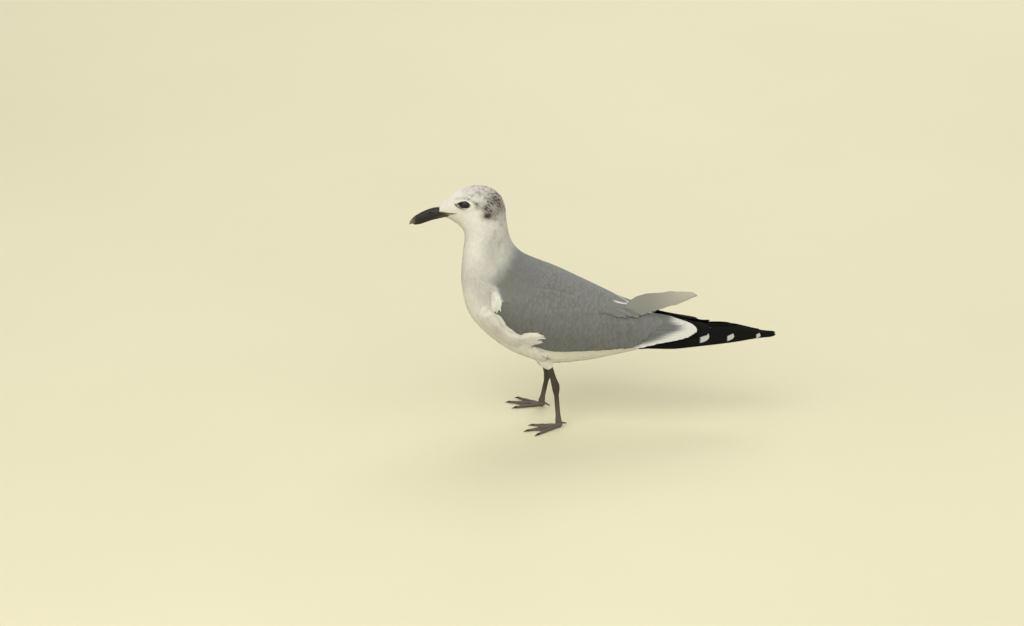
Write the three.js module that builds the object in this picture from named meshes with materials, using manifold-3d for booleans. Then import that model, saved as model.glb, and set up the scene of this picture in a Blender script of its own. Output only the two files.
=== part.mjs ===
// A life-size laughing gull in winter plumage, standing still with folded wings.
//
// Millimetres. The bird faces -X, its left side is -Y, +Z is up, and it stands on the floor z = 0.
// Left and right pieces are built alike on the +Y side and mirrored where they are the same.

import * as THREE from 'three';
import { mergeVertices } from 'three/addons/utils/BufferGeometryUtils.js';
import Module from 'manifold-3d';

const wasm = await Module();
wasm.setup();

// ---------------------------------------------------------------- driving dimensions

const GAP = 0.3; // clearance between neighbouring pieces
const BODY_SIDES = 24; // points round a section of the body
const MIRROR = { right: 1, left: -1 }; // sign of y on each side of the bird

// Body, from the tail end to the bill. Each station is a slice across the body from the underside up to
// the back: [back x, back z, underside x, underside z, half width].
const BODY_STATIONS = [
  [118, 107.5, 118, 103.5, 9],
  [98, 112.5, 98, 98.5, 17],
  [62, 130, 62, 89.5, 26],
  [25, 149.5, 28, 82, 37],
  [-14, 169.5, -10, 74.5, 45.5],
  [-46, 185.5, -50, 72, 50],
  [-66, 193.3, -88, 83.5, 51],
  [-80.5, 200.5, -118.5, 104, 48.5],
  [-90, 211, -142, 131, 42.5],
  [-95, 223, -150.5, 165, 34.5],
  [-97.6, 235.5, -149.8, 195, 28.5],
  [-99, 248, -147, 219, 24.5],
  [-100.6, 261, -148.2, 231, 22],
  [-106.5, 273.8, -154, 238.4, 19.8],
  [-119.5, 282.6, -160.4, 243, 18.6],
  [-136, 284.2, -165, 246, 17],
  [-151, 278.8, -169, 247.6, 14.4],
  [-164, 270.4, -172.5, 248.6, 10.4],
  [-176, 260, -176.5, 250.2, 6],
];
const TAIL_COVERTS = { from: 0, to: 2, rings: 7 }; // in stations
const TORSO = { from: 2, to: 9.6, rings: 22 };
const NECK = { from: 9.6, to: 12.3, rings: 8 };
const HEAD = { from: 12.3, to: 18, rings: 16 };

// Bill. Heights of the three edges along its length: [x, culmen z, mouth z, lower edge z, half width]
const BILL_STATIONS = [
  [-158, 255.2, 254.2, 253.2, 13.2],
  [-166, 256.2, 252.8, 249.2, 10.4],
  [-172, 257.8, 251.6, 246.8, 8.0],
  [-177.5, 258.6, 250.2, 245.0, 5.9],
  [-184, 257.4, 248.2, 243.2, 5.0],
  [-191, 254.8, 245.6, 240.6, 4.3],
  [-197, 251.8, 243.0, 238.4, 3.7],
  [-202.5, 248.4, 240.6, 237.6, 3.0],
];
const BILL_TIP = { upper: [-209.4, 237.4], lower: [-205.4, 238.4], halfWidth: 0.7 };
const NOSTRIL = { x: -184, y: 4.7, z: 252.8, length: 6.4, height: 1.7, depth: 1.6, tilt: 0.3 };

const EYE = { x: -146, y: 12.9, z: 267.1, radius: 6 };
// Rim of the two lids: tilt is in the plane of the rim, and lean and turn lay it along the side of the head
const LID = { x: -146.6, y: 16.9, z: 268, halfLength: 5.9, halfHeight: 4.7, thickness: 1.0 };
const LID_TURN = { tilt: 0.12, lean: 0.23, turn: 0.16 };

// Wing. The folded wing is one curved strip from its lower edge up to its upper edge:
// [x, lower y, lower z, upper y, upper z, bulge of the strip, thickness of the folded wing]
const WING_STATIONS = [
  [-114, 41, 146, 40, 152, 1.5, 2.5],
  [-106, 43.5, 135.5, 42, 166, 5, 5],
  [-96, 45, 126, 42, 173, 8.5, 6.5],
  [-78, 46.5, 112, 40, 177, 11.5, 7.5],
  [-50, 46.5, 98, 36, 174, 13, 8.5],
  [0, 44.5, 97.5, 27, 154.5, 11, 9],
  [45, 40, 100, 13, 139, 7, 9.6],
  [80, 35, 101.5, 4.4, 130, 5, 9.4],
  [120, 27.5, 102.3, 3.4, 122.8, 4, 7.5],
  [160, 18.5, 102.8, 2.6, 117.6, 2.5, 4],
  [188, 11.8, 103.2, 2.8, 110.4, 1.6, 2.4],
  [209, 7.4, 103.6, 5.2, 105.8, 0.8, 1.4],
];
const ARM = { from: -114, to: 30, rings: 22 }; // behind it the wing is flight feathers alone
const WING_HOLLOW_END = 140; // the body and tail are hollowed for the folded wings up to here

// Flight feathers. Those of one fan lie like roof tiles: each leading edge is in the wing's outer face,
// and the rest of the vane slides in under the next feather up the wing.
const VANE = { thickness: 0.5, pitch: 0.88, pointsAcross: 4 };
// Secondaries, from the lowest, and then tertials: [tip x, tip height, leading edge, trailing edge], all
// three heights as shares of the way up the folded wing
const SECONDARIES = [
  [60, 0.1, 0.02, 0.4],
  [80, 0.16, 0.1, 0.5],
  [95, 0.23, 0.18, 0.62],
  [107, 0.31, 0.26, 0.74],
  [115, 0.39, 0.34, 0.84],
  [119, 0.48, 0.42, 0.92],
  [112, 0.63, 0.54, 0.97],
  [98, 0.8, 0.68, 0.99],
];
const SECONDARY_ROOT = { from: 30.3, to: 46, top: 0.25, depth: 4.9 }; // the block that they grow from
const PRIMARIES = { tips: [209, 194, 161, 132, 108], step: 0.075, width: 19, from: 52 };
const PRIMARY_ROOT = { from: 30.3, to: 66, top: 5.5 };
// How deep the fan of primaries lies under the wing's outer face before and after the secondaries end
const PRIMARY_DEPTH = { under: 6.1, bare: 0.8, from: 100, to: 160 };
// One tertial of the left wing is ruffled up off the back: the ends of its shaft and its width
const RAISED_TERTIAL = { root: [36, -18, 143], tip: [118.5, -7.5, 156.5], width: 20, bend: 2.5, camber: 6 };

// Tail feathers, from the middle pair outwards and down: each is a pitch lower than the one before
const TAIL_FEATHERS = { pairs: 6, from: 88, tip: 166, shorter: 0.6, halfWidth: 11.4, wider: 0.4, pitch: 0.8 };
// Height of the top pair, and how fast it falls away to the sides, by the square of the distance
const TAIL_TOP = { root: 107.7, tip: 106.9, roof: 0.008 };

// Legs: [x, y, z] of the middle of each joint, with y counted outwards, and the turn of the foot outwards
const LEGS = {
  left: {
    hip: [-60, 21, 92],
    knee: [-49, 22, 69],
    heel: [-42.7, 24, 48.5],
    ankle: [-39.2, 30, 5],
    yaw: 20,
  },
  right: {
    hip: [-65, 20, 92],
    knee: [-57.5, 20.5, 67],
    heel: [-51.3, 22, 46],
    ankle: [-58.8, 33, 5],
    yaw: 13.5,
  },
};
// Half widths [fore and aft, sideways] of each length of the leg
const THIGH = { hip: [13, 10], knee: [4.6, 4.2] };
const TIBIA = { top: [3.4, 2.6], heel: [4.3, 3.4] };
const TARSUS = { heel: [4.3, 3.4], middle: [2.7, 2.0], ankle: [3.8, 3.2] };
// Toes: [length, angle towards the outside, half width at the root]
const TOES = {
  inner: [30, -27, 2.3],
  middle: [38, 0, 2.5],
  outer: [34, 25, 2.3],
};
const CLAW = { length: 6.5, radius: 1.3 };
const HIND_TOE = { length: 8, radius: 1.3, height: 8 };
const WEB = { thickness: 1, reach: 0.88, notch: 0.68 }; // shares of the toes' length, at the toes and midway

// ---------------------------------------------------------------- solids

const point = (x, y, z) => new THREE.Vector3(x, y, z);

// A closed solid through points and triangles, facing out
function solid(points, faces) {
  let volume = 0;
  for (let i = 0; i < faces.length; i += 3) {
    const [a, b, c] = [points[faces[i]], points[faces[i + 1]], points[faces[i + 2]]];
    volume += a.dot(b.clone().cross(c));
  }
  const triVerts = new Uint32Array(faces);
  if (volume < 0) triVerts.reverse();
  const vertProperties = new Float32Array(points.flatMap((p) => [p.x, p.y, p.z]));
  return new wasm.Manifold(new wasm.Mesh({ numProp: 3, vertProperties, triVerts }));
}

// A three.js geometry as a solid
function solidOf(geometry) {
  const bare = geometry.clone();
  bare.deleteAttribute('normal');
  bare.deleteAttribute('uv');
  const merged = mergeVertices(bare, 1e-4);
  const position = merged.getAttribute('position');
  const corner = (_, i) => point(0, 0, 0).fromBufferAttribute(position, i);
  const points = Array.from({ length: position.count }, corner);
  return solid(points, [...merged.index.array]);
}

// A closed solid through rings of equally many points, with a fan over each end
function loft(rings) {
  const sides = rings[0].length;
  const points = rings.flat();
  const faces = [];
  for (let r = 0; r < rings.length - 1; r++)
    for (let i = 0; i < sides; i++) {
      const a = r * sides + i;
      const b = r * sides + ((i + 1) % sides);
      faces.push(a, b, b + sides, a, b + sides, a + sides);
    }
  const middle = (ring) => ring.reduce((sum, p) => sum.add(p), point(0, 0, 0)).divideScalar(sides);
  const first = points.push(middle(rings[0])) - 1;
  const last = points.push(middle(rings[rings.length - 1])) - 1;
  const top = (rings.length - 1) * sides;
  for (let i = 0; i < sides; i++) {
    faces.push(first, (i + 1) % sides, i);
    faces.push(last, top + i, top + ((i + 1) % sides));
  }
  return solid(points, faces);
}

// A closed sheet through sections along its length. Each section is a row of points across its upper face
// and the row under it, and both faces are split into triangles alike.
function sheet(sections) {
  const across = sections[0].upper.length;
  const points = sections.flatMap(({ upper, lower }) => [...upper, ...lower]);
  const at = (section, row, k) => section * 2 * across + row * across + k;
  const faces = [];
  const quad = (a, b, c, d) => faces.push(a, b, c, a, c, d);
  for (let i = 0; i < sections.length - 1; i++) {
    for (let k = 0; k < across - 1; k++) {
      quad(at(i, 0, k), at(i, 0, k + 1), at(i + 1, 0, k + 1), at(i + 1, 0, k));
      const [a, b, c, d] = [at(i, 1, k), at(i, 1, k + 1), at(i + 1, 1, k + 1), at(i + 1, 1, k)];
      faces.push(a, c, b, a, d, c);
    }
    quad(at(i, 1, 0), at(i, 0, 0), at(i + 1, 0, 0), at(i + 1, 1, 0));
    quad(at(i, 0, across - 1), at(i, 1, across - 1), at(i + 1, 1, across - 1), at(i + 1, 0, across - 1));
  }
  const end = sections.length - 1;
  for (let k = 0; k < across - 1; k++) {
    quad(at(0, 0, k), at(0, 1, k), at(0, 1, k + 1), at(0, 0, k + 1));
    quad(at(end, 0, k + 1), at(end, 1, k + 1), at(end, 1, k), at(end, 0, k));
  }
  return solid(points, faces);
}

// The largest closed surface of a solid: a loose scrap is dropped and a sealed hollow filled
function largest(body) {
  return body.decompose().reduce((best, piece) => (piece.volume() > best.volume() ? piece : best));
}

// What lies between two heights of a solid
function between(body, low, high) {
  const slab = new THREE.BoxGeometry(1000, 1000, high - low);
  slab.translate(0, 0, (high + low) / 2);
  return body.intersect(solidOf(slab));
}

function join(...pieces) {
  return pieces.reduce((all, piece) => all.add(piece));
}

// Smooth value of column c of a table at the place u, counted in rows
function along(table, u, column) {
  const i = Math.min(Math.max(Math.floor(u), 0), table.length - 2);
  const at = (k) => table[Math.min(Math.max(k, 0), table.length - 1)][column];
  const [p0, p1, p2, p3] = [at(i - 1), at(i), at(i + 1), at(i + 2)];
  const t = u - i;
  const m1 = (p2 - p0) / 2;
  const m2 = (p3 - p1) / 2;
  const t2 = t * t;
  const t3 = t2 * t;
  return (2 * t3 - 3 * t2 + 1) * p1 + (t3 - 2 * t2 + t) * m1 + (3 * t2 - 2 * t3) * p2 + (t3 - t2) * m2;
}

// The row place at which the first column of a table, which rises or falls steadily, has a value
function placeOf(table, value) {
  const rising = table[1][0] > table[0][0] ? 1 : -1;
  let low = 0;
  let high = table.length - 1;
  for (let k = 0; k < 30; k++) {
    const middle = (low + high) / 2;
    if ((along(table, middle, 0) - value) * rising < 0) low = middle;
    else high = middle;
  }
  return (low + high) / 2;
}

// Evenly spaced values between two ends, both included
function spread(count, from, to) {
  return Array.from({ length: count }, (_, i) => from + ((to - from) * i) / (count - 1));
}

// ---------------------------------------------------------------- body

// One slice across the body at station u
function bodyRing(u) {
  const back = point(along(BODY_STATIONS, u, 0), 0, along(BODY_STATIONS, u, 1));
  const under = point(along(BODY_STATIONS, u, 2), 0, along(BODY_STATIONS, u, 3));
  const halfWidth = along(BODY_STATIONS, u, 4);
  const centre = back.clone().add(under).multiplyScalar(0.5);
  const rise = back.clone().sub(under).multiplyScalar(0.5);
  const fullness = 0.94; // under 1 squares the section off a little
  return spread(BODY_SIDES + 1, 0, 2 * Math.PI)
    .slice(0, -1)
    .map((angle) => {
      const [c, s] = [Math.cos(angle), Math.sin(angle)];
      const across = Math.sign(c) * Math.abs(c) ** fullness * halfWidth;
      const up = Math.sign(s) * Math.abs(s) ** fullness;
      return centre.clone().addScaledVector(rise, up).add(point(0, across, 0));
    });
}

// A length of the body between two stations, ending GAP / 2 short of each cut end
function bodyPiece({ from, to, rings }) {
  const inset = (end, step) => {
    const ahead = bodyRing(end + step);
    return (GAP / 2) * (step / Math.min(...bodyRing(end).map((p, i) => p.distanceTo(ahead[i]))));
  };
  return loft(spread(rings, from + inset(from, 0.02), to + inset(to, -0.02)).map(bodyRing));
}

// ---------------------------------------------------------------- bill and eyes

function billRow(u) {
  return [0, 1, 2, 3, 4].map((column) => along(BILL_STATIONS, u, column));
}

// One mandible as a loft of half-round sections; grow makes the hollow that it sits in
function mandible(which, grow = 0) {
  const up = which === 'upper' ? 1 : -1;
  const section = ([x, culmen, mouth, lower, halfWidth]) => {
    const flat = mouth + (up * GAP) / 2;
    const height = (up > 0 ? culmen : lower) - flat;
    const width = halfWidth + 1.3 * grow;
    const crown = spread(7, 0, Math.PI).map((angle) =>
      point(x, width * Math.cos(angle), flat + height * Math.sin(angle) ** 0.8 + up * grow),
    );
    if (grow === 0) return crown;
    return [point(x, width, mouth - up * grow), ...crown, point(x, -width, mouth - up * grow)];
  };
  const rows = spread(11, 0, BILL_STATIONS.length - 1).map(billRow);
  const [root] = rows;
  const behind = grow > 0 ? [[root[0] + grow, ...root.slice(1)]] : [];
  const [tipX, tipZ] = BILL_TIP[which];
  const tip = [tipX, tipZ + 1, tipZ - (up * GAP) / 2, tipZ - 1, BILL_TIP.halfWidth];
  return loft([...behind, ...rows, tip].map(section));
}

function nostril(side) {
  const slot = new THREE.SphereGeometry(1, 12, 8);
  slot.scale(NOSTRIL.length / 2, NOSTRIL.depth, NOSTRIL.height / 2);
  slot.rotateY(NOSTRIL.tilt);
  slot.translate(NOSTRIL.x, side * NOSTRIL.y, NOSTRIL.z);
  return solidOf(slot);
}

function eyeball(side, grow = 0) {
  const ball = new THREE.SphereGeometry(EYE.radius + grow, 16, 10);
  ball.translate(EYE.x, side * EYE.y, EYE.z);
  return solidOf(ball);
}

// The rim of the two lids round one eye
function lids(side) {
  const rim = new THREE.TorusGeometry(1, LID.thickness / LID.halfHeight, 6, 18);
  rim.scale(LID.halfLength, LID.halfHeight, LID.halfHeight);
  rim.rotateX(Math.PI / 2);
  rim.rotateY(LID_TURN.tilt);
  rim.rotateX(side * LID_TURN.lean);
  rim.rotateZ(side * LID_TURN.turn);
  rim.translate(LID.x, side * LID.y, LID.z);
  return solidOf(rim);
}

// ---------------------------------------------------------------- wings

// Point of the folded wing at x, share t of the way from its lower edge to its upper edge, and a depth
// below its outer face
function wingPoint(x, t, depth = 0) {
  const u = placeOf(WING_STATIONS, x);
  const [lowY, lowZ, highY, highZ, bulge] = [1, 2, 3, 4, 5].map((column) => along(WING_STATIONS, u, column));
  const chord = point(0, highY - lowY, highZ - lowZ);
  const length = chord.length();
  const out = point(0, chord.z, -chord.y).divideScalar(length);
  const slope = (4 * bulge * (1 - 2 * t)) / length;
  const normal = out.clone().addScaledVector(chord, -slope / length).normalize();
  const face = point(x, lowY, lowZ).addScaledVector(chord, t).addScaledVector(out, 4 * bulge * t * (1 - t));
  return face.addScaledVector(normal, -depth);
}

// Height of the folded wing's strip at x, measured along the strip
function wingChord(x) {
  return wingPoint(x, 0).distanceTo(wingPoint(x, 1));
}

// How deep the folded wing reaches at x and t: a lens with thin edges, or squarer with less taper
function wingDepth(x, t, taper) {
  const edge = 0.8;
  const full = along(WING_STATIONS, placeOf(WING_STATIONS, x), 6);
  return edge + (full - edge) * Math.sin(Math.PI * Math.min(Math.max(t, 0), 1)) ** taper;
}

// A strip of the folded wing with a section at each x, from a depth down to the wing's inner face or to a
// deepest depth, and between two heights; grow makes the hollow that it lies in
function wingStrip(places, { top = 0, deepest = Infinity, low = 0, high = 1, grow = 0, taper = 0.5 } = {}) {
  const section = (x) => {
    const edge = (1.2 * grow) / wingChord(x);
    const heights = spread(8, low - edge, high + edge);
    const depth = (t) => Math.max(Math.min(wingDepth(x, t, taper), deepest), top + VANE.thickness);
    return {
      upper: heights.map((t) => wingPoint(x, t, top - grow)),
      lower: heights.map((t) => wingPoint(x, t, depth(t) + grow)),
    };
  };
  return sheet(places.map(section));
}

// ---------------------------------------------------------------- flight feathers

// Shares of a vane's length at which it has a section, closer together towards the tip
const VANE_SECTIONS = [0, 0.3, 0.6, 0.8, 0.92, 1];

// How much of its full width a vane still has at a share of its length: a rounded or a pointed tip
function tipShape(share, fullUntil, bluntness) {
  const past = Math.max(share - fullUntil, 0) / (1 - fullUntil);
  return Math.max((1 - past ** bluntness) ** (1 / bluntness), 0.08);
}

// A flight feather of the folded wing between x = from and its tip. Its edges run at heights lead and
// trail(x), and close in on the height tip at the end; depth(x, t) is where its outer face lies.
function wingVane({ from, tipX, tip, lead, trail, fullUntil, bluntness, depth }) {
  return sheet(
    VANE_SECTIONS.map((share) => {
      const x = from + share * (tipX - from);
      const open = tipShape(share, fullUntil, bluntness);
      const heights = spread(VANE.pointsAcross, tip + (lead - tip) * open, tip + (trail(x) - tip) * open);
      const thickness = VANE.thickness * (share < 1 ? 1 : 0.8);
      return {
        upper: heights.map((t) => wingPoint(x, t, depth(x, t))),
        lower: heights.map((t) => wingPoint(x, t, depth(x, t) + thickness)),
      };
    }),
  );
}

// Which secondary's leading edge is at a height, as a number with a fraction
function secondaryAt(t) {
  const leads = SECONDARIES.map(([, , lead]) => lead);
  const below = leads.findLastIndex((lead, j) => lead <= t && j < leads.length - 1);
  const j = Math.max(below, 0);
  return j + (t - leads[j]) / (leads[j + 1] - leads[j]);
}

function secondaryVanes() {
  return SECONDARIES.map(([tipX, tip, lead, trail], j) =>
    wingVane({
      from: SECONDARY_ROOT.from + 4,
      tipX,
      tip,
      lead,
      trail: () => trail,
      fullUntil: 0.66,
      bluntness: 2.2,
      depth: (x, t) => 0.05 + VANE.pitch * Math.max(secondaryAt(t) - j, 0),
    }),
  );
}

function primaryVanes() {
  const { tips, step, width, from } = PRIMARIES;
  const reach = (x) => Math.max(4 - Math.max(x - 100, 0) / 36, 1.1); // feathers still in the stack at x
  const base = (x) => {
    const share = THREE.MathUtils.smoothstep(x, PRIMARY_DEPTH.from, PRIMARY_DEPTH.to);
    return PRIMARY_DEPTH.under + (PRIMARY_DEPTH.bare - PRIMARY_DEPTH.under) * share;
  };
  return tips.map((tipX, i) => {
    const lead = step * i - 0.02;
    return wingVane({
      from,
      tipX,
      tip: lead + 0.1,
      lead,
      trail: (x) => Math.min(lead + width / wingChord(x), 0.94),
      fullUntil: i === 0 ? 0.62 : 0.7,
      bluntness: i === 0 ? 1.5 : 1.8,
      depth: (x, t) => {
        const n = reach(x);
        return Math.max(base(x) + VANE.pitch * (n * (1 - Math.exp(-(t + 0.02) / (step * n))) - i), 0.1);
      },
    });
  });
}

// The ruffled tertial: a vane with a straight shaft that stands on edge beside the back
function raisedTertial() {
  const { root, tip, width, bend, camber } = RAISED_TERTIAL;
  const [start, end] = [point(...root), point(...tip)];
  const shaft = end.clone().sub(start);
  const across = point(0, 0.35, 0.94).normalize();
  const out = shaft.clone().cross(across).normalize();
  return sheet(
    VANE_SECTIONS.map((share) => {
      const open = tipShape(share, 0.5, 1.8) * width * (0.6 + 0.4 * Math.min(share * 3, 1));
      const centre = start.clone().addScaledVector(shaft, share);
      const arch = bend * Math.sin(Math.PI * share);
      const row = (side) =>
        spread(VANE.pointsAcross, -0.5, 0.5).map((k) =>
          centre
            .clone()
            .addScaledVector(across, k * open)
            .addScaledVector(out, arch - camber * k * k + (side * VANE.thickness) / 2),
        );
      return { upper: row(1), lower: row(-1) };
    }),
  );
}

// Tail feathers of one side, or of both for the middle pair, which crosses the midline
function tailVanes() {
  const { pairs, from, tip, shorter, halfWidth, wider, pitch } = TAIL_FEATHERS;
  const { root, tip: end, roof } = TAIL_TOP;
  const rectrix = (n, side, layer) => {
    const [inner, outer] = [n === 0 ? -0.3 * halfWidth : 0.4, halfWidth + wider * n];
    const tipX = tip - shorter * n;
    return sheet(
      [0, 0.5, 0.94, 1].map((share) => {
        const x = from + share * (tipX - from);
        const [low, high] = share < 1 ? [inner, outer] : [inner + 2, outer - 2];
        const ridge = root + (end - root) * share - layer * pitch;
        const height = (y) => ridge - roof * y * y;
        const row = (drop) => spread(4, low, high).map((y) => point(x, side * y, height(y) - drop));
        return { upper: row(0), lower: row(VANE.thickness) };
      }),
    );
  };
  const middle = [rectrix(0, 1, 0), rectrix(0, -1, 1)];
  const pair = (n) => [rectrix(n, 1, n + 1), rectrix(n, -1, n + 1)];
  return [...middle, ...spread(pairs - 1, 1, pairs - 1).flatMap(pair)];
}

function mirrored(body, side) {
  return side < 0 ? body.mirror([0, 1, 0]) : body;
}

// ---------------------------------------------------------------- legs

// A limb between two joints with elliptical sections, each [place along, fore-aft, sideways] half widths
function limb(a, b, sections, sides = 12) {
  const start = point(...a);
  const axis = point(...b).sub(start);
  const side = point(0, 1, 0);
  const fore = side.clone().cross(axis).normalize();
  side.copy(axis).cross(fore).normalize();
  const ring = ([share, foreHalf, sideHalf]) =>
    spread(sides + 1, 0, 2 * Math.PI)
      .slice(0, -1)
      .map((angle) =>
        start
          .clone()
          .addScaledVector(axis, share)
          .addScaledVector(fore, foreHalf * Math.cos(angle))
          .addScaledVector(side, sideHalf * Math.sin(angle)),
      );
  return loft(sections.map(ring));
}

// A toe that lies on the floor: flat below, rounded above, with pads at its joints, then its claw
function toe([length, angle, halfWidth], side) {
  const turn = THREE.MathUtils.degToRad(angle);
  const direction = point(-Math.cos(turn), side * Math.sin(turn), 0);
  const across = point(-direction.y, direction.x, 0);
  const ring = (share, half, height, drop = 0) =>
    spread(6, 0, Math.PI).map((a) =>
      direction
        .clone()
        .multiplyScalar(share * length)
        .addScaledVector(across, half * Math.cos(a))
        .add(point(0, 0, drop + height * Math.sin(a))),
    );
  const pads = spread(7, 0, 1).map((share) => {
    const taper = 1 - 0.45 * share;
    const pad = 1 + 0.12 * Math.cos(share * 3 * 2 * Math.PI);
    return ring(share, halfWidth * taper * pad, 2 * halfWidth * taper * (0.75 + 0.25 * pad));
  });
  const claw = spread(4, 0, 1).map((share) => {
    const radius = CLAW.radius * (1 - share) + 0.25 * share;
    const arch = 1.1 * Math.sin(Math.PI * share) * (1 - share);
    return ring(0.97 + (share * CLAW.length) / length, radius, 1.9 * radius, arch);
  });
  return join(loft(pads), loft(claw));
}

// The webs between the front toes, with a hollowed front edge
function web(a, b, side) {
  const at = ([length, angle], share) => {
    const turn = THREE.MathUtils.degToRad(angle);
    return new THREE.Vector2(-Math.cos(turn), side * Math.sin(turn)).multiplyScalar(length * share);
  };
  const middle = [(a[0] + b[0]) / 2, (a[1] + b[1]) / 2];
  const shape = new THREE.Shape();
  const [start, end, dip] = [at(a, WEB.reach), at(b, WEB.reach), at(middle, WEB.notch)];
  shape.moveTo(0, 0);
  shape.lineTo(start.x, start.y);
  shape.quadraticCurveTo(2 * dip.x - (start.x + end.x) / 2, 2 * dip.y - (start.y + end.y) / 2, end.x, end.y);
  shape.closePath();
  const options = { depth: WEB.thickness, bevelEnabled: false, curveSegments: 8 };
  return solidOf(new THREE.ExtrudeGeometry(shape, options));
}

function foot(name, side) {
  const { ankle, yaw } = LEGS[name];
  const [x, y] = ankle;
  const knuckle = new THREE.SphereGeometry(1, 12, 8);
  knuckle.scale(4.6, 3.9, 3.6);
  knuckle.translate(0, 0, 3.2);
  const hind = limb(
    [2.5, 0, HIND_TOE.height - 2.5],
    [2.5 + HIND_TOE.length, side * -2, HIND_TOE.height - 5],
    [
      [0, HIND_TOE.radius, HIND_TOE.radius],
      [0.6, HIND_TOE.radius * 0.8, HIND_TOE.radius * 0.8],
      [1, 0.4, 0.4],
    ],
    8,
  );
  const whole = join(
    solidOf(knuckle),
    toe(TOES.inner, side),
    toe(TOES.middle, side),
    toe(TOES.outer, side),
    web(TOES.inner, TOES.middle, side),
    web(TOES.middle, TOES.outer, side),
    hind,
  );
  const cut = between(whole, 0, LEGS[name].ankle[2] - GAP / 2);
  return largest(cut.rotate([0, 0, -side * yaw]).translate([x, side * y, 0]));
}

// ---------------------------------------------------------------- the bird

const COLOURS = {
  white: [0.8, 0.79, 0.74],
  grey: [0.2, 0.2, 0.19],
  black: [0.02, 0.02, 0.02],
  horn: [0.04, 0.038, 0.034],
  leg: [0.07, 0.06, 0.05],
  eye: [0.012, 0.009, 0.008],
};
const ROUGHNESS = { white: 0.85, grey: 0.8, black: 0.6, horn: 0.4, leg: 0.55, eye: 0.05 };

const bird = new THREE.Group();

function place(name, body, colour) {
  const mesh = largest(body).getMesh();
  const geometry = new THREE.BufferGeometry()
    .setAttribute('position', new THREE.BufferAttribute(Float32Array.from(mesh.vertProperties), 3))
    .setIndex(new THREE.BufferAttribute(mesh.triVerts, 1));
  geometry.computeVertexNormals();
  const material = new THREE.MeshStandardMaterial({
    color: new THREE.Color().setRGB(...COLOURS[colour]),
    roughness: ROUGHNESS[colour],
    metalness: 0,
  });
  const node = new THREE.Mesh(geometry, material);
  node.name = name;
  bird.add(node);
}

const armPlaces = spread(ARM.rings, ARM.from, ARM.to);
const armHollow = wingStrip([ARM.from - GAP, ...armPlaces, ARM.to + GAP], { grow: 1.5 * GAP });
const featherHollow = wingStrip(spread(12, ARM.to, WING_HOLLOW_END), { grow: 2 * GAP, taper: 0.2 });
const wingHollow = armHollow.add(featherHollow);
const wingHollows = Object.values(MIRROR).map((side) => mirrored(wingHollow, side));

function thigh(name, side, grow = 0) {
  const { hip, knee } = LEGS[name];
  const top = -grow / (hip[2] - knee[2]);
  return limb(
    [hip[0], side * hip[1], hip[2]],
    [knee[0], side * knee[1], knee[2]],
    [
      [top, THIGH.hip[0] + grow, THIGH.hip[1] + grow],
      [0.55, THIGH.hip[0] * 0.72 + grow, THIGH.hip[1] * 0.75 + grow],
      [1, THIGH.knee[0] + grow, THIGH.knee[1] + grow],
    ],
    14,
  );
}

const thighHollows = Object.entries(MIRROR).map(([name, side]) => thigh(name, side, 1.5 * GAP));
const cutBy = (body, cuts) => cuts.reduce((rest, cut) => rest.subtract(cut), body);
place('torso', cutBy(bodyPiece(TORSO), [...wingHollows, ...thighHollows]), 'white');
place('tail', join(cutBy(bodyPiece(TAIL_COVERTS), wingHollows), ...tailVanes()), 'white');
place('neck', bodyPiece(NECK), 'white');

const billHollow = join(mandible('upper', GAP), mandible('lower', GAP));
const skull = join(bodyPiece(HEAD), lids(1), lids(-1));
place('head', cutBy(skull, [billHollow, eyeball(1, GAP), eyeball(-1, GAP)]), 'white');
place('bill_upper', mandible('upper').subtract(join(nostril(1), nostril(-1))), 'horn');
place('bill_lower', mandible('lower'), 'horn');

for (const [name, side] of Object.entries(MIRROR)) {
  place(`eye_${name}`, eyeball(side), 'eye');

  place(`wing_${name}_arm`, mirrored(wingStrip(armPlaces), side), 'grey');
  const { from, to, top, depth } = SECONDARY_ROOT;
  const secondaryRoot = wingStrip(spread(4, from, to), { top, deepest: depth, low: 0.03, high: 0.97 });
  const secondaries = mirrored(join(secondaryRoot, ...secondaryVanes()), side);
  place(`wing_${name}_secondaries`, side < 0 ? secondaries.add(raisedTertial()) : secondaries, 'grey');
  const primaryPlaces = spread(6, PRIMARY_ROOT.from, PRIMARY_ROOT.to);
  const primaryRoot = wingStrip(primaryPlaces, { top: PRIMARY_ROOT.top, low: 0.16, high: 0.86 });
  place(`wing_${name}_primaries`, mirrored(join(primaryRoot, ...primaryVanes()), side), 'black');

  const { knee, heel, ankle } = LEGS[name];
  const [k, h, a] = [knee, heel, ankle].map(([x, y, z]) => [x, side * y, z]);
  const tibia = limb(k, h, [
    [-0.1, ...TIBIA.top],
    [0.55, ...TIBIA.top],
    [0.9, ...TIBIA.heel],
    [1.2, ...TIBIA.heel],
  ]);
  const tarsus = limb(h, a, [
    [-0.1, ...TARSUS.heel],
    [0.08, ...TARSUS.heel],
    [0.25, ...TARSUS.middle],
    [0.75, ...TARSUS.middle],
    [0.96, ...TARSUS.ankle],
    [1.1, ...TARSUS.ankle],
  ]);
  place(`thigh_${name}`, between(thigh(name, side), knee[2] + GAP / 2, 1000), 'white');
  place(`tibia_${name}`, between(tibia, heel[2] + GAP / 2, knee[2] - GAP / 2), 'leg');
  place(`tarsus_${name}`, between(tarsus, ankle[2] + GAP / 2, heel[2] - GAP / 2), 'leg');
  place(`foot_${name}`, foot(name, side), 'leg');
}

export default bird;
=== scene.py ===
"""Looks of a life-size laughing gull in winter plumage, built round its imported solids.

Sizes are in millimetres until a mesh is made, and the bird faces -X, with its left side towards -Y.
A folded wing and the body are the same smooth surfaces as the solids, and every feather lies on them.
"""

import math

import bpy
import numpy as np
from mathutils import Matrix, Vector
from mathutils.bvhtree import BVHTree


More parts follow.
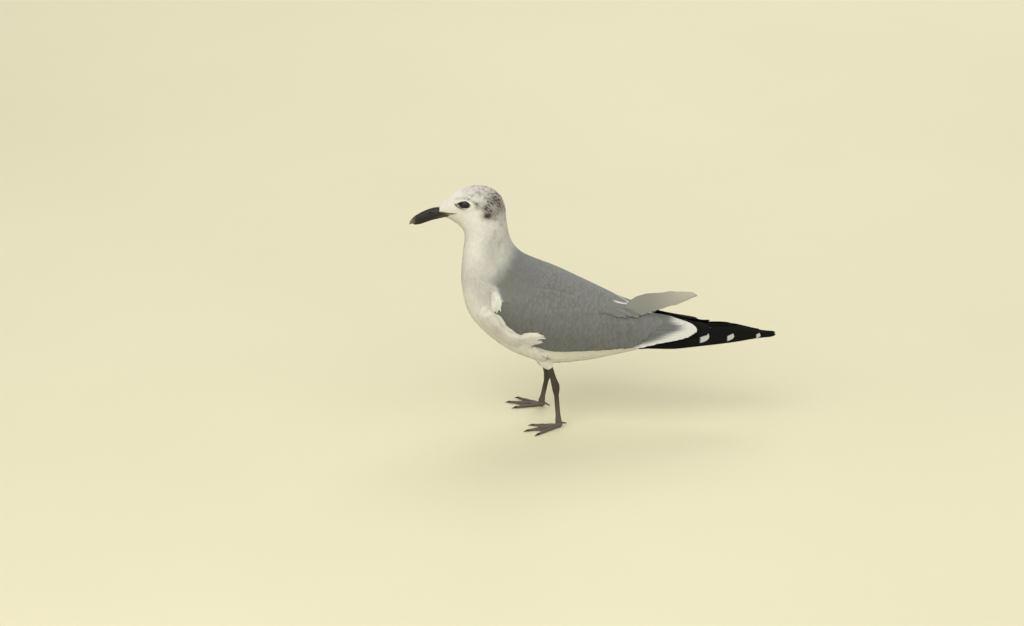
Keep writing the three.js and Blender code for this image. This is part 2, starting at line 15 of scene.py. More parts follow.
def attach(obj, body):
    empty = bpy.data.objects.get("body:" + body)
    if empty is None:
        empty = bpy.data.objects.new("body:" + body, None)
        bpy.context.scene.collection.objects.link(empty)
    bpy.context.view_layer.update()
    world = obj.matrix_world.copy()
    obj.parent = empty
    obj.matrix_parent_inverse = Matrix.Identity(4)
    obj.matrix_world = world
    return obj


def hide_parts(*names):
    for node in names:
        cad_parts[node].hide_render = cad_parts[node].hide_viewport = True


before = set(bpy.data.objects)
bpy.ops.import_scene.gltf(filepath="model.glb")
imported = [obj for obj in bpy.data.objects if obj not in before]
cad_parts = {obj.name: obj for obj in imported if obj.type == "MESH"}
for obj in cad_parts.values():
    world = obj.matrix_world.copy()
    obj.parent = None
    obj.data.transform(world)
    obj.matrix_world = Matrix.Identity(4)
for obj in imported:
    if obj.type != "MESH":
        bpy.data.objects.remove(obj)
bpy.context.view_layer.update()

MM = 0.001
SIDES = {"left": -1, "right": 1}  # sign of y
UP = np.array([0, 0, 1])
rng = np.random.default_rng(20)

# ---------------------------------------------------------------- driving sizes

# Body, from the tail end to the bill: [back x, back z, underside x, underside z, half width]
BODY_STATIONS = [
    [118, 107.5, 118, 103.5, 9],
    [98, 112.5, 98, 98.5, 17],
    [62, 130, 62, 89.5, 26],
    [25, 149.5, 28, 82, 37],
    [-14, 169.5, -10, 74.5, 45.5],
    [-46, 185.5, -50, 72, 50],
    [-66, 193.3, -88, 83.5, 51],
    [-80.5, 200.5, -118.5, 104, 48.5],
    [-90, 211, -142, 131, 42.5],
    [-95, 223, -150.5, 165, 34.5],
    [-97.6, 235.5, -149.8, 195, 28.5],
    [-99, 248, -147, 219, 24.5],
    [-100.6, 261, -148.2, 231, 22],
    [-106.5, 273.8, -154, 238.4, 19.8],
    [-119.5, 282.6, -160.4, 243, 18.6],
    [-136, 284.2, -165, 246, 17],
    [-151, 278.8, -169, 247.6, 14.4],
    [-164, 270.4, -172.5, 248.6, 10.4],
    [-176, 260, -176.5, 250.2, 6],
]
BODY_FULLNESS = 0.94
FIRST, LAST, FACE_END = 0, len(BODY_STATIONS) - 1, 17.9

# The coat by body station: [station, depth of the skin inside the outline, distance between rows of feathers]
COAT = [
    [0, 1.0, 3.6], [4, 1.7, 3.3], [8, 1.7, 3.0], [10, 1.5, 2.6], [12, 1.2, 2.0],
    [13.5, 1.0, 1.4], [16, 0.8, 1.1], [18, 0.5, 0.8],
]
DEPTH, ROWS = 1, 2

# Folded wing, from the bend to the tip:
# [x, lower y, lower z, upper y, upper z, bulge of the strip, thickness of the folded wing]
WING_STATIONS = [
    [-114, 41, 146, 40, 152, 1.5, 2.5],
    [-106, 43.5, 135.5, 42, 166, 5, 5],
    [-96, 45, 126, 42, 173, 8.5, 6.5],
    [-78, 46.5, 112, 40, 177, 11.5, 7.5],
    [-50, 46.5, 98, 36, 174, 13, 8.5],
    [0, 44.5, 97.5, 27, 154.5, 11, 9],
    [45, 40, 100, 13, 139, 7, 9.6],
    [80, 35, 101.5, 4.4, 130, 5, 9.4],
    [120, 27.5, 102.3, 3.4, 122.8, 4, 7.5],
    [160, 18.5, 102.8, 2.6, 117.6, 2.5, 4],
    [188, 10, 103.2, 1.8, 110.4, 1.6, 2.4],
    [209, 5.6, 102.8, 1.4, 108, 0.8, 1.4],
]
# The wing's skin and the surface on which its coverts lie: how far back they reach and how deep they end
WING_SKIN = {"from": -113, "to": 64, "depth": 1.3, "end_depth": 4.5}
WING_BED = {"to": 150, "end_depth": 0.1}

LEGS = {
    "left": {
        "hip": [-60, 21, 92], "knee": [-49, 22, 69], "heel": [-42.7, 24, 48.5], "ankle": [-39.2, 30, 5],
        "yaw": 20,
    },
    "right": {
        "hip": [-65, 20, 92], "knee": [-57.5, 20.5, 67], "heel": [-51.3, 22, 46], "ankle": [-58.8, 33, 5],
        "yaw": 13.5,
    },
}
THIGH = {"hip": [13, 10], "knee": [4.6, 4.2], "middle": 0.73}

EYE = {"centre": np.array([-146, 12.9, 267.1]), "radius": 6}
# Rim of the lids: tilt is in the plane of the rim, and lean and turn lay it along the side of the head
LID = {
    "centre": np.array([-146.6, 16.9, 268]), "tilt": 0.12, "lean": 0.23, "turn": 0.16,
    "opening": [6.3, 2.9], "corner": 1.4, "rim": 0.35, "skin": 1.5,
}

# Camera: it looks along +Y and down, straight at the middle of the picture
CAMERA = {"target": [-92.7, 44.8, 110.9], "elevation": 22, "distance": 8000, "view_width": 1177.6}


# ---------------------------------------------------------------- numbers and smooth surfaces

def unit(vectors):
    return vectors / np.maximum(np.linalg.norm(vectors, axis=-1, keepdims=True), 1e-12)


def turns(count):
    """Evenly spaced angles round a circle."""
    return np.linspace(0, 2 * np.pi, count + 1)[:-1]


def smoothstep(x, low, high):
    t = np.clip((np.asarray(x, float) - low) / (high - low), 0, 1)
    return t * t * (3 - 2 * t)


def between(x, low, full, still_full, high):
    """1 from full to still_full, falling smoothly to 0 at low and at high."""
    return smoothstep(x, low, full) * smoothstep(x, high, still_full)


def kept(keep, *arrays):
    return [array[keep] for array in arrays]


def at(table, place, column=1):
    """A column of a table at places given as in its first column, with straight lines between the rows."""
    table = np.asarray(table, float)
    return np.interp(place, table[:, 0], table[:, column])


def along(table, place):
    """Smooth rows of a table at places counted in rows."""
    rows = np.asarray(table, float)
    place = np.asarray(place, float)
    i = np.clip(np.floor(place).astype(int), 0, len(rows) - 2)
    p0, p1, p2, p3 = (rows[np.clip(i + k, 0, len(rows) - 1)] for k in (-1, 0, 1, 2))
    t = (place - i).reshape(place.shape + (1,) * (rows.ndim - 1))
    m1, m2 = (p2 - p0) / 2, (p3 - p1) / 2
    t2, t3 = t * t, t * t * t
    return (2 * t3 - 3 * t2 + 1) * p1 + (t3 - 2 * t2 + t) * m1 + (3 * t2 - 2 * t3) * p2 + (t3 - t2) * m2


def body_point(u, angle):
    """Points of the body's outline at station u and an angle, 0 on the right and 90 degrees on top."""
    u, angle = np.broadcast_arrays(np.asarray(u, float), np.asarray(angle, float))
    row = along(BODY_STATIONS, u)
    c, s = np.cos(angle), np.sin(angle)
    up = np.sign(s) * np.abs(s) ** BODY_FULLNESS
    across = np.sign(c) * np.abs(c) ** BODY_FULLNESS * row[..., 4]
    x = (row[..., 0] + row[..., 2]) / 2 + (row[..., 0] - row[..., 2]) / 2 * up
    z = (row[..., 1] + row[..., 3]) / 2 + (row[..., 1] - row[..., 3]) / 2 * up
    return np.stack([x, across, z], -1)


def body_frame(u, angle):
    """Point, outward normal and the two edges of a step of one station and of one radian."""
    e = 0.01
    du = (body_point(np.minimum(u + e, LAST), angle) - body_point(np.maximum(u - e, FIRST), angle)) / (2 * e)
    da = (body_point(u, angle + e) - body_point(u, angle - e)) / (2 * e)
    return body_point(u, angle), unit(np.cross(du, da)), du, da


def wing_rows():
    """The wing's table at evenly spaced x."""
    rows = along(WING_STATIONS, np.linspace(0, len(WING_STATIONS) - 1, 4000))
    x = np.linspace(WING_STATIONS[0][0], WING_STATIONS[-1][0], 400)
    return np.stack([x] + [at(rows, x, column) for column in range(1, 7)], -1)


WING_ROWS = wing_rows()


def wing_point(x, t, depth=0.0):
    """Points of the right wing at x, share t of the way up it, and a depth under its outer face."""
    x, t, depth = np.broadcast_arrays(*(np.asarray(v, float) for v in (x, t, depth)))
    low_y, low_z, high_y, high_z, bulge = (at(WING_ROWS, x, column) for column in range(1, 6))
    chord = np.stack([np.zeros_like(x), high_y - low_y, high_z - low_z], -1)
    length = np.linalg.norm(chord, axis=-1, keepdims=True)
    out = np.stack([np.zeros_like(x), chord[..., 2], -chord[..., 1]], -1) / length
    bulge, t1 = bulge[..., None], t[..., None]
    slope = 4 * bulge * (1 - 2 * t1) / length
    normal = unit(out - chord * slope / length)
    face = np.stack([x, low_y, low_z], -1) + chord * t1 + out * 4 * bulge * t1 * (1 - t1)
    return face - normal * depth[..., None]


def wing_chord(x):
    return np.linalg.norm(wing_point(x, 1.0) - wing_point(x, 0.0), axis=-1)


def rotation(axis, angle):
    return np.array(Matrix.Rotation(angle, 3, axis))


def lid_turn(side):
    """Lays a ring in the XZ plane along the side of the head."""
    return rotation("Z", side * LID["turn"]) @ rotation("X", side * LID["lean"]) @ rotation("Y", LID["tilt"])


def line_of_sight(side):
    return lid_turn(side) @ np.array([0, side, 0])


# ---------------------------------------------------------------- meshes

def new_object(name, points, faces, material=None, rim=None):
    """A mesh object from points in millimetres and an array of triangles or quads.

    rim marks the points of thin vanes' edges, at which the upper and the lower face are shaded apart.
    """
    faces = np.asarray(faces, np.int32)
    mesh = bpy.data.meshes.new(name)
    mesh.vertices.add(len(points))
    mesh.vertices.foreach_set("co", (np.asarray(points, float) * MM).astype(np.float32).ravel())
    mesh.loops.add(faces.size)
    mesh.loops.foreach_set("vertex_index", faces.ravel())
    mesh.polygons.add(len(faces))
    mesh.polygons.foreach_set("loop_start", np.arange(0, faces.size, faces.shape[1], dtype=np.int32))
    mesh.update(calc_edges=True)
    mesh.validate()
    shade_smooth(mesh)
    if rim is not None:
        ends = np.zeros(len(mesh.edges) * 2, np.int32)
        mesh.edges.foreach_get("vertices", ends)
        sharp = mesh.attributes.new("sharp_edge", "BOOLEAN", "EDGE")
        sharp.data.foreach_set("value", rim[ends].reshape(-1, 2).all(axis=1))
    if material:
        mesh.materials.append(material)
    piece = bpy.data.objects.new(name, mesh)
    bpy.context.scene.collection.objects.link(piece)
    return piece


def shade_smooth(mesh):
    mesh.polygons.foreach_set("use_smooth", np.ones(len(mesh.polygons), bool))


def set_attribute(piece, name, values):
    attribute = piece.data.attributes.new(name, "FLOAT", "POINT")
    attribute.data.foreach_set("value", np.asarray(values, np.float32).ravel())


def set_map(piece, name, per_vertex):
    """A UV map from one pair of numbers for each vertex."""
    layer = piece.data.uv_layers.new(name=name)
    corners = np.zeros(len(piece.data.loops), np.int32)
    piece.data.loops.foreach_get("vertex_index", corners)
    layer.data.foreach_set("uv", np.asarray(per_vertex, np.float32)[corners].ravel())


def shape_of(piece):
    """A mesh's points in millimetres and its normals."""
    read = {}
    for name in ("co", "normal"):
        values = np.zeros(len(piece.data.vertices) * 3, np.float32)
        piece.data.vertices.foreach_get(name, values)
        read[name] = values.reshape(-1, 3).astype(float)
    return read["co"] / MM, read["normal"]


def move_points(piece, points):
    piece.data.vertices.foreach_set("co", (points * MM).astype(np.float32).ravel())
    piece.data.update()


def grid_faces(rows, columns, closed_rows=False, closed_columns=False):
    """Quads of a grid of points, row by row; closed joins its last row or column to the first."""
    steps = np.arange(rows - (not closed_rows)), np.arange(columns - (not closed_columns))
    r, c = np.meshgrid(*steps, indexing="ij")
    next_r, next_c = (r + 1) % rows, (c + 1) % columns
    quads = [r * columns + c, r * columns + next_c, next_r * columns + next_c, next_r * columns + c]
    return np.stack(quads).reshape(4, -1).T


def triangles_of(quads):
    """Quads as triangles, leaving out those that have no area."""
    triangles = np.concatenate([quads[:, [0, 1, 2]], quads[:, [0, 2, 3]]])
    a, b, c = triangles.T
    return triangles[(a != b) & (b != c) & (c != a)]


def tube(rings):
    """Points and faces of a closed body through rings of equally many points, (rings, sides, 3)."""
    rings = np.asarray(rings, float)
    count, sides = rings.shape[:2]
    points = np.concatenate([rings.reshape(-1, 3), [rings[0].mean(0)], [rings[-1].mean(0)]])
    i = np.arange(sides)
    following = (i + 1) % sides
    first, last, top = count * sides, count * sides + 1, (count - 1) * sides
    start = np.stack([np.full(sides, first), following, i], 1)
    end = np.stack([np.full(sides, last), top + i, top + following], 1)
    return points, np.concatenate([triangles_of(grid_faces(count, sides, closed_columns=True)), start, end])


def swept(centres, across, over, half_across, half_over, sides):
    """A closed body with elliptical sections round a line of centres, (sections, 1, 3)."""
    turn = turns(sides)[None, :, None]
    return tube(centres + half_across * np.cos(turn) * across + half_over * np.sin(turn) * over)


def ellipsoid(centre, radii):
    polar = np.linspace(0, np.pi, 16)[1:-1, None, None]
    centres = np.array(centre) + radii[2] * np.cos(polar) * UP
    return swept(centres, [1, 0, 0], [0, 1, 0], radii[0] * np.sin(polar), radii[1] * np.sin(polar), 24)


def joined(parts):
    """Points and faces of several bodies as one."""
    starts = np.cumsum([0] + [len(points) for points, _ in parts])
    faces = [np.asarray(faces) + start for (_, faces), start in zip(parts, starts)]
    return np.concatenate([points for points, _ in parts]), np.concatenate(faces)


def fused(name, parts, voxel, rounds, material=None):
    """Closed bodies as one seamless smooth one."""
    piece = new_object(name, *joined(parts), material)
    remesh = piece.modifiers.new("remesh", "REMESH")
    remesh.mode = "VOXEL"
    remesh.voxel_size = voxel * MM
    smooth = piece.modifiers.new("smooth", "SMOOTH")
    smooth.factor = 0.5
    smooth.iterations = rounds
    first_shape = piece.data
    piece.data = bpy.data.meshes.new_from_object(piece.evaluated_get(bpy.context.evaluated_depsgraph_get()))
    piece.modifiers.clear()
    bpy.data.meshes.remove(first_shape)
    shade_smooth(piece.data)
    return piece


# ---------------------------------------------------------------- materials

def colour(red, green, blue):
    """A colour given as it looks on a screen, 0 to 255, as the linear colour that the shader takes."""
    screen = np.array([red, green, blue]) / 255
    linear = np.where(screen <= 0.04045, screen / 12.92, ((screen + 0.055) / 1.055) ** 2.4)
    return (*linear.tolist(), 1.0)


WHITE = colour(214, 212, 201)
GREY = colour(90, 92, 89)
DUSK = colour(52, 47, 37)
BLACK = colour(12, 12, 10)
BORDER_WHITE = colour(198, 198, 188)
SPOT_GREY = colour(168, 170, 162)
WORN_BROWN = colour(109, 109, 101)
WORN_TIP = colour(164, 160, 146)


class Shader:
    """A node material that is built a node at a time."""

    def __init__(self, name, **constants):
        self.material = bpy.data.materials.new(name)
        self.material.use_nodes = True
        self.tree = self.material.node_tree
        self.surface = self.tree.nodes["Principled BSDF"]
        self.finish(**constants)

    def finish(self, **sockets):
        for socket, value in sockets.items():
            self.put(self.surface.inputs[socket.replace("_", " ")], value)
        return self.material

    def put(self, socket, value):
        if isinstance(value, bpy.types.NodeSocket):
            self.tree.links.new(value, socket)
        elif value is not None:
            socket.default_value = value

    def node(self, kind, *inputs, sockets=(), **settings):
        """A node with its settings, its first inputs in order, and pairs of an input's name and its value."""
        made = self.tree.nodes.new("ShaderNode" + kind)
        for key, value in settings.items():
            setattr(made, key, value)
        named = [(made.inputs[key], value) for key, value in sockets]
        for socket, value in [*zip(made.inputs, inputs), *named]:
            self.put(socket, value)
        return made

    def math(self, operation, a, b=None, c=None):
        return self.node("Math", a, b, c, operation=operation).outputs[0]

    def scaled(self, value, by, plus):
        return self.math("MULTIPLY_ADD", value, by, plus)

    def times(self, a, b):
        return self.math("MULTIPLY", a, b)

    def mix(self, share, a, b, blend="MIX"):
        factor, first, second = 0, 6, 7
        sockets = [(factor, share), (first, a), (second, b)]
        return self.node("Mix", sockets=sockets, data_type="RGBA", blend_type=blend).outputs[2]

    def lit(self, base, light):
        """A colour made lighter or darker by a number."""
        return self.mix(1.0, base, self.node("CombineColor", light, light, light).outputs[0], "MULTIPLY")

    def attribute(self, name):
        return self.node("Attribute", attribute_name=name).outputs["Fac"]

    def place(self):
        return self.node("TexCoord").outputs["Object"]

    def noise(self, vector, scale, detail=3.0):
        sockets = [("Vector", vector), ("Scale", scale), ("Detail", detail)]
        return self.node("TexNoise", sockets=sockets).outputs["Fac"]

    def ramp(self, value, low, high):
        """0 below low, 1 above high, and smooth between."""
        sockets = [("Value", value), ("From Min", low), ("From Max", high)]
        return self.node("MapRange", sockets=sockets, interpolation_type="SMOOTHSTEP").outputs[0]

    def bump(self, height, distance, strength):
        sockets = [("Strength", strength), ("Distance", distance), ("Height", height)]
        return self.node("Bump", sockets=sockets).outputs[0]


def barbs(shader, distance):
    """Fine ridges from a feather's shaft out to its edges, by the map of millimetres across and along."""
    across, along_it, _ = shader.node("SeparateXYZ", shader.node("UVMap", uv_map="vane").outputs[0]).outputs
    slant = shader.scaled(shader.math("ABSOLUTE", across), -0.9, along_it)
    ruffle = shader.noise(shader.place(), 900.0, 2.0)
    ridges = shader.math("SINE", shader.scaled(ruffle, 2.4, shader.times(slant, 9.0)))
    shaft = shader.ramp(shader.math("ABSOLUTE", across), 0.35, 0.05)
    return shader.bump(shader.scaled(shaft, 1.6, ridges), distance, 0.35), ridges


def plumage_material():
    """Body feathers: white, slate grey and dusky by each feather's marks, the grey partly painted shade."""
    shader = Shader(
        "plumage", Roughness=0.86, Sheen_Weight=0.12, Sheen_Roughness=0.6, Specular_IOR_Level=0.25)
    normal, ridges = barbs(shader, 0.00006)
    place = shader.place()
    soft = shader.noise(place, 60.0, 4.0)
    fine = shader.noise(place, 700.0)
    base = shader.mix(shader.attribute("grey"), WHITE, GREY)
    base = shader.mix(shader.attribute("dusk"), base, DUSK)
    light = shader.scaled(shader.attribute("tone"), 0.12, 0.94)
    for cloud, strength in ((soft, 0.16), (fine, 0.12)):
        light = shader.scaled(shader.math("SUBTRACT", cloud, 0.5), strength, light)
    light = shader.scaled(ridges, 0.015, light)
    rough = shader.scaled(fine, 0.12, 0.8)
    return shader.finish(Base_Color=shader.lit(base, light), Roughness=rough, Normal=normal)


def flight_material(name, base_colour, roughness, tip_colour=WHITE, gloss=0.2):
    """Flight feathers: one colour with a shaft, barbs and a pale tip as long as each feather says."""
    shader = Shader(name, Roughness=roughness, Specular_IOR_Level=gloss)
    normal, ridges = barbs(shader, 0.00005)
    place = shader.place()
    fine = shader.noise(place, 500.0)
    ragged = shader.times(shader.noise(place, 220.0), 2.5)
    from_tip = shader.math("ADD", shader.attribute("from_tip"), ragged)
    share = shader.math("DIVIDE", from_tip, shader.attribute("tip_length"))
    soft = shader.attribute("white_soft")
    white = shader.ramp(share, shader.math("ADD", 1.0, soft), shader.math("SUBTRACT", 1.0, soft))
    past_white = shader.math("ADD", shader.attribute("past_white"), ragged)
    white = shader.times(white, shader.ramp(past_white, 1.9, 0.6))
    lighter = tuple(min(1, 1.35 * c) for c in base_colour[:3]) + (1.0,)
    base = shader.mix(shader.scaled(fine, 0.5, shader.attribute("tone")), base_colour, lighter)
    base = shader.lit(shader.mix(white, base, tip_colour), shader.scaled(ridges, 0.03, 1.0))
    return shader.finish(Base_Color=base, Roughness=shader.scaled(fine, 0.2, roughness - 0.1), Normal=normal)


def horn_material():
    """Blackish bill and claws, paler and browner at the tip of the bill, with fine lengthwise wear."""
    shader = Shader("horn", Coat_Weight=0.06, Coat_Roughness=0.3, Specular_IOR_Level=0.25)
    place = shader.place()
    x, _, z = shader.node("SeparateXYZ", place).outputs
    stretched = shader.node("Mapping", place, sockets=[("Scale", (0.25, 1, 1))])
    streaks = shader.noise(stretched.outputs[0], 900.0, 4.0)
    cloud = shader.noise(place, 160.0)
    base = shader.mix(cloud, colour(20, 19, 16), colour(36, 33, 27))
    tip = shader.ramp(shader.scaled(cloud, 0.003, x), -0.199, -0.207)
    base = shader.mix(shader.times(tip, 0.8), base, colour(118, 110, 86))
    root = shader.ramp(shader.scaled(x, -0.47, z), 0.3345, 0.3315)
    for limit in (shader.ramp(x, -0.184, -0.17), shader.ramp(z, 0.1, 0.2)):
        root = shader.times(root, limit)
    base = shader.mix(shader.times(root, 0.7), base, colour(88, 62, 44))
    rough = shader.scaled(streaks, 0.25, 0.3)
    return shader.finish(Base_Color=base, Roughness=rough, Normal=shader.bump(streaks, 0.0001, 0.5))


def leg_material():
    """Scaled skin of the legs, darker above the heel and paler on the feet."""
    shader = Shader("leg_skin", Specular_IOR_Level=0.4)
    place = shader.place()
    _, _, z = shader.node("SeparateXYZ", place).outputs
    sockets = [("Vector", place), ("Scale", 900.0)]
    cells = shader.node("TexVoronoi", sockets=sockets, feature="DISTANCE_TO_EDGE")
    edge = shader.ramp(cells.outputs["Distance"], 0.0, 0.25)
    cloud = shader.noise(place, 120.0, 4.0)
    height = shader.ramp(shader.scaled(cloud, 0.012, z), 0.006, 0.05)
    base = shader.mix(height, colour(104, 98, 82), colour(46, 42, 33))
    base = shader.mix(shader.times(cloud, 0.5), base, colour(74, 67, 53))
    base = shader.mix(shader.scaled(edge, -0.4, 0.4), base, colour(34, 30, 24))
    rough = shader.scaled(cloud, 0.25, 0.4)
    return shader.finish(Base_Color=base, Roughness=rough, Normal=shader.bump(edge, 0.0002, 0.6))


def lid_material():
    shader = Shader("lid_skin", Specular_IOR_Level=0.4)
    cloud = shader.noise(shader.place(), 700.0, 4.0)
    base = shader.mix(cloud, colour(24, 21, 17), colour(44, 38, 31))
    rough = shader.scaled(cloud, 0.3, 0.4)
    return shader.finish(Base_Color=base, Roughness=rough, Normal=shader.bump(cloud, 0.0002, 0.6))


def eye_material():
    """Dark brown iris round a black pupil under a wet cornea."""
    shader = Shader("eye", Coat_Weight=0.15, Coat_Roughness=0.03, Specular_IOR_Level=0.3)
    sight = shader.attribute("from_sight")
    fibres = shader.noise(shader.place(), 1400.0)
    iris = shader.mix(fibres, colour(15, 11, 8), colour(30, 21, 14))
    base = shader.mix(shader.ramp(sight, 0.36, 0.4), colour(6, 5, 5), iris)
    base = shader.mix(shader.ramp(sight, 0.7, 0.8), base, colour(14, 10, 8))
    return shader.finish(Base_Color=base, Roughness=shader.scaled(fibres, 0.1, 0.06))


# ---------------------------------------------------------------- markings

# Places at which the mantle's grey starts, going down: [x, lowest z that is grey]
MANTLE_EDGE = [
    [-125, 186], [-118, 181], [-109, 176], [-104, 162], [-98, 142], [-78, 130], [-50, 125],
    [45, 120], [125, 110],
]
# wash: how far ahead of the mantle's front the neck's grey fades in, partly plumage grey, partly painted
# shade
MANTLE_FRONT = {"point": [-102, 197], "outward": [0.757, -0.653], "wash": 44}
WHITE_RUMP = [54, 44]  # x at which the mantle's grey has gone, and at which it is full
EAR = {"centre": [-121.3, 254.8], "size": [6.8, 4.0]}
BARS = {"centre": [-133, 250], "apart": 2.7}
# Grey over the white plumage, partly its own wash, partly painted shade: [x, z, reach in x, reach in z,
# strength]
GREY_AND_SHADE_WASHES = [
    [-113, 134, 13, 13, 0.36], [-129, 160, 6, 16, 0.22], [-92, 116, 16, 7, 0.26], [-62, 119, 10, 8, 0.24],
    [-117, 226, 12, 22, 0.34], [-112, 262, 12, 14, 0.2], [-134, 282, 16, 7, 0.12],
]

# Edge of the white breast and flank over the folded wing, seen from the side: [x, z], first the tuft at the
# bend from above, then the front of the wing, then the tuft on the flank, and last the belly
BREAST_EDGE = np.array([
    [-124, 184], [-119, 181.3], [-114.4, 178.8], [-109.8, 172.7], [-106.4, 165.3], [-104.7, 159.1],
    [-106.4, 152.9], [-111, 148], [-114.4, 146], [-108.7, 139.4], [-104.1, 132], [-98.4, 127.1],
    [-91.5, 123.4], [-84.7, 122.2], [-75.5, 125.2], [-68.7, 127.1], [-60.7, 126.5], [-56.1, 123.4],
    [-54.4, 119.7], [-55, 114.8], [-59.5, 112.3], [-65.3, 111.1], [-67, 109.9], [-64.1, 103.7], [-59.5, 98.8],
    [-52.7, 95.1],
])
BREAST = np.concatenate([BREAST_EDGE, [[-52.7, 60], [-160, 60], [-160, 184]]])
# The tuft of white feathers at the bend of the wing: the same edge, and then its front
CRESCENT_FRONT = [[-117.8, 148.9], [-121.3, 161.2], [-123.5, 173.5]]
CRESCENT = np.concatenate([BREAST_EDGE[1:8], CRESCENT_FRONT, BREAST_EDGE[1:2]])
# How high that tuft and the flank feathers swell over the wing, and how far in from their edge
PUFF = {"crescent": 3.0, "crescent_edge": 4.2, "flank": 2.0, "flank_edge": 4.5, "flank_reach": 26}


def lattice_noise(points, size, seed):
    """Smooth noise from 0 to 1 with features of the given size, the same for skin and feathers."""
    cell = points / size
    base = np.floor(cell).astype(np.int64)
    f = cell - base
    f = f * f * (3 - 2 * f)
    total = np.zeros(len(points))
    for corner in np.ndindex(2, 2, 2):
        p = base + corner
        n = p[:, 0] * 374761393 + p[:, 1] * 668265263 + p[:, 2] * 2147483647 + seed * 1274126177
        n = (n ^ (n >> 13)) * 1274126177
        total += np.prod(np.where(corner, f, 1 - f), axis=1) * (((n ^ (n >> 16)) & 0xFFFF) / 0xFFFF)
    return total


def to_edge(points, edge):
    """Distance in the side view to a polyline, and the polyline's direction at the nearest place."""
    p = points[:, [0, 2]]
    best = np.full(len(p), np.inf)
    way = np.zeros((len(p), 2))
    for a, b in zip(edge, edge[1:]):
        step = b - a
        share = np.clip((p - a) @ step / (step @ step), 0, 1)
        distance = np.linalg.norm(p - a - share[:, None] * step, axis=1)
        nearer = distance < best
        best = np.where(nearer, distance, best)
        way[nearer] = step / np.linalg.norm(step)
    return best, way


def inside(points, outline):
    """Whether points, seen from the side, lie inside a closed outline."""
    x, z = points[:, 0], points[:, 2]
    found = np.zeros(len(points), bool)
    for (x0, z0), (x1, z1) in zip(outline, np.roll(outline, -1, axis=0)):
        if z0 != z1:
            found ^= ((z0 > z) != (z1 > z)) & (x < x0 + (z - z0) * (x1 - x0) / (z1 - z0))
    return found


def over_wing(points):
    """Whether points of the body lie on the outer face of a folded wing."""
    right = points * [1, 0, 1] + np.abs(points) * [0, 1, 0]
    low, high = wing_point(right[:, 0], 0.0), wing_point(right[:, 0], 1.0)
    chord = high - low
    share = np.sum((right - low) * chord, 1) / np.sum(chord * chord, 1)
    out = unit(np.stack([0 * share, chord[:, 2], -chord[:, 1]], -1))
    outside = np.sum((right - low) * out, 1) > -10
    return outside & (share > 0.04) & (share < 0.97) & (right[:, 0] > WING_SKIN["from"] + 3)


def grey_mark_and_shade(points):
    """How far the body's plumage has turned from white to slate grey, partly painted shade in its washes."""
    x, z = points[:, 0], points[:, 2]
    front = (points[:, [0, 2]] - MANTLE_FRONT["point"]) @ MANTLE_FRONT["outward"]
    ragged = 3 * (lattice_noise(points, 6, 3) - 0.5)
    grey = 0.9 * smoothstep(front + ragged, -13, 11) * smoothstep(z + ragged - at(MANTLE_EDGE, x), -5, 4)
    grey = grey * smoothstep(x, *WHITE_RUMP)
    # The neck's wash and the washes below are partly the plumage's own grey and partly painted shade.
    neck = smoothstep(z, 150, 185) * smoothstep(x, -10, -60)
    wash = 0.36 * smoothstep(front, -MANTLE_FRONT["wash"], -6) * neck
    for centre_x, centre_z, reach_x, reach_z, strength in GREY_AND_SHADE_WASHES:
        wash = wash + strength * np.exp(-((x - centre_x) / reach_x) ** 2 - ((z - centre_z) / reach_z) ** 2)
    return np.clip(grey + wash * (1 - grey), 0, 1)


def gape_line(points):
    """The dark line of the closed mouth behind the bill, thinning out under the eye."""
    x, y, z = points.T
    off = np.abs(z - 255.2 - 0.16 * (x + 165))
    reach = np.interp(x, [-172, -166, -160, -155], [2.2, 1.5, 0.8, 0.3])
    return smoothstep(off, 1.5 * reach, 0.6 * reach) * smoothstep(x, -153, -157) * smoothstep(np.abs(y), 3, 6)


def eye_place(points):
    """Where points lie round the nearer eye: ring (1 at its opening), turn (0 behind, 90 above), place."""
    left, right = ((points - LID["centre"] * [1, side, 1]) @ lid_turn(side) for side in (-1, 1))
    local = np.where(points[:, 1:2] < 0, left, right)
    behind, above = local[:, 0] / LID["opening"][0], local[:, 2] / LID["opening"][1]
    return np.hypot(behind, above), np.degrees(np.arctan2(above, behind)) % 360, local


def around_eye(points):
    """Blackish feathers from the front corner of the eye to below it, and a dusky wash all round."""
    ring, turn, local = eye_place(points)
    half_height = np.interp(local[:, 0], [-9.2, -7.6, -5.5, -4.5], [0, 1.1, 2.5, 2.9])
    ahead = smoothstep(np.abs(local[:, 2] + 0.2), half_height + 0.4, half_height - 0.4)
    front = ahead * between(local[:, 0], -9.6, -8.6, -4.5, -3.5)
    below = between(turn, 176, 200, 268, 290)
    under = np.exp(-((ring - 1.4 - 0.3 * below) / 0.3) ** 2) * below
    strength = 0.24 * between(turn, 0, 20, 140, 160) + 0.14 * smoothstep(turn, 225, 250)
    wash = np.exp(-((ring - 2.3) / 0.6) ** 2) * strength
    inner = smoothstep(ring, 1.08, 0.98)
    return (front + under + wash + inner) * smoothstep(np.abs(points[:, 1]), 7, 11)


def eye_crescents(points):
    """White crescents above the eye, and below and behind it."""
    ring, turn, _ = eye_place(points)
    above, below = between(turn, 10, 30, 134, 156), between(turn, 246, 264, 348, 358)
    return np.exp(-((ring - 1.36) / 0.38) ** 4) * np.maximum(above, below) * (np.abs(points[:, 1]) > 7)


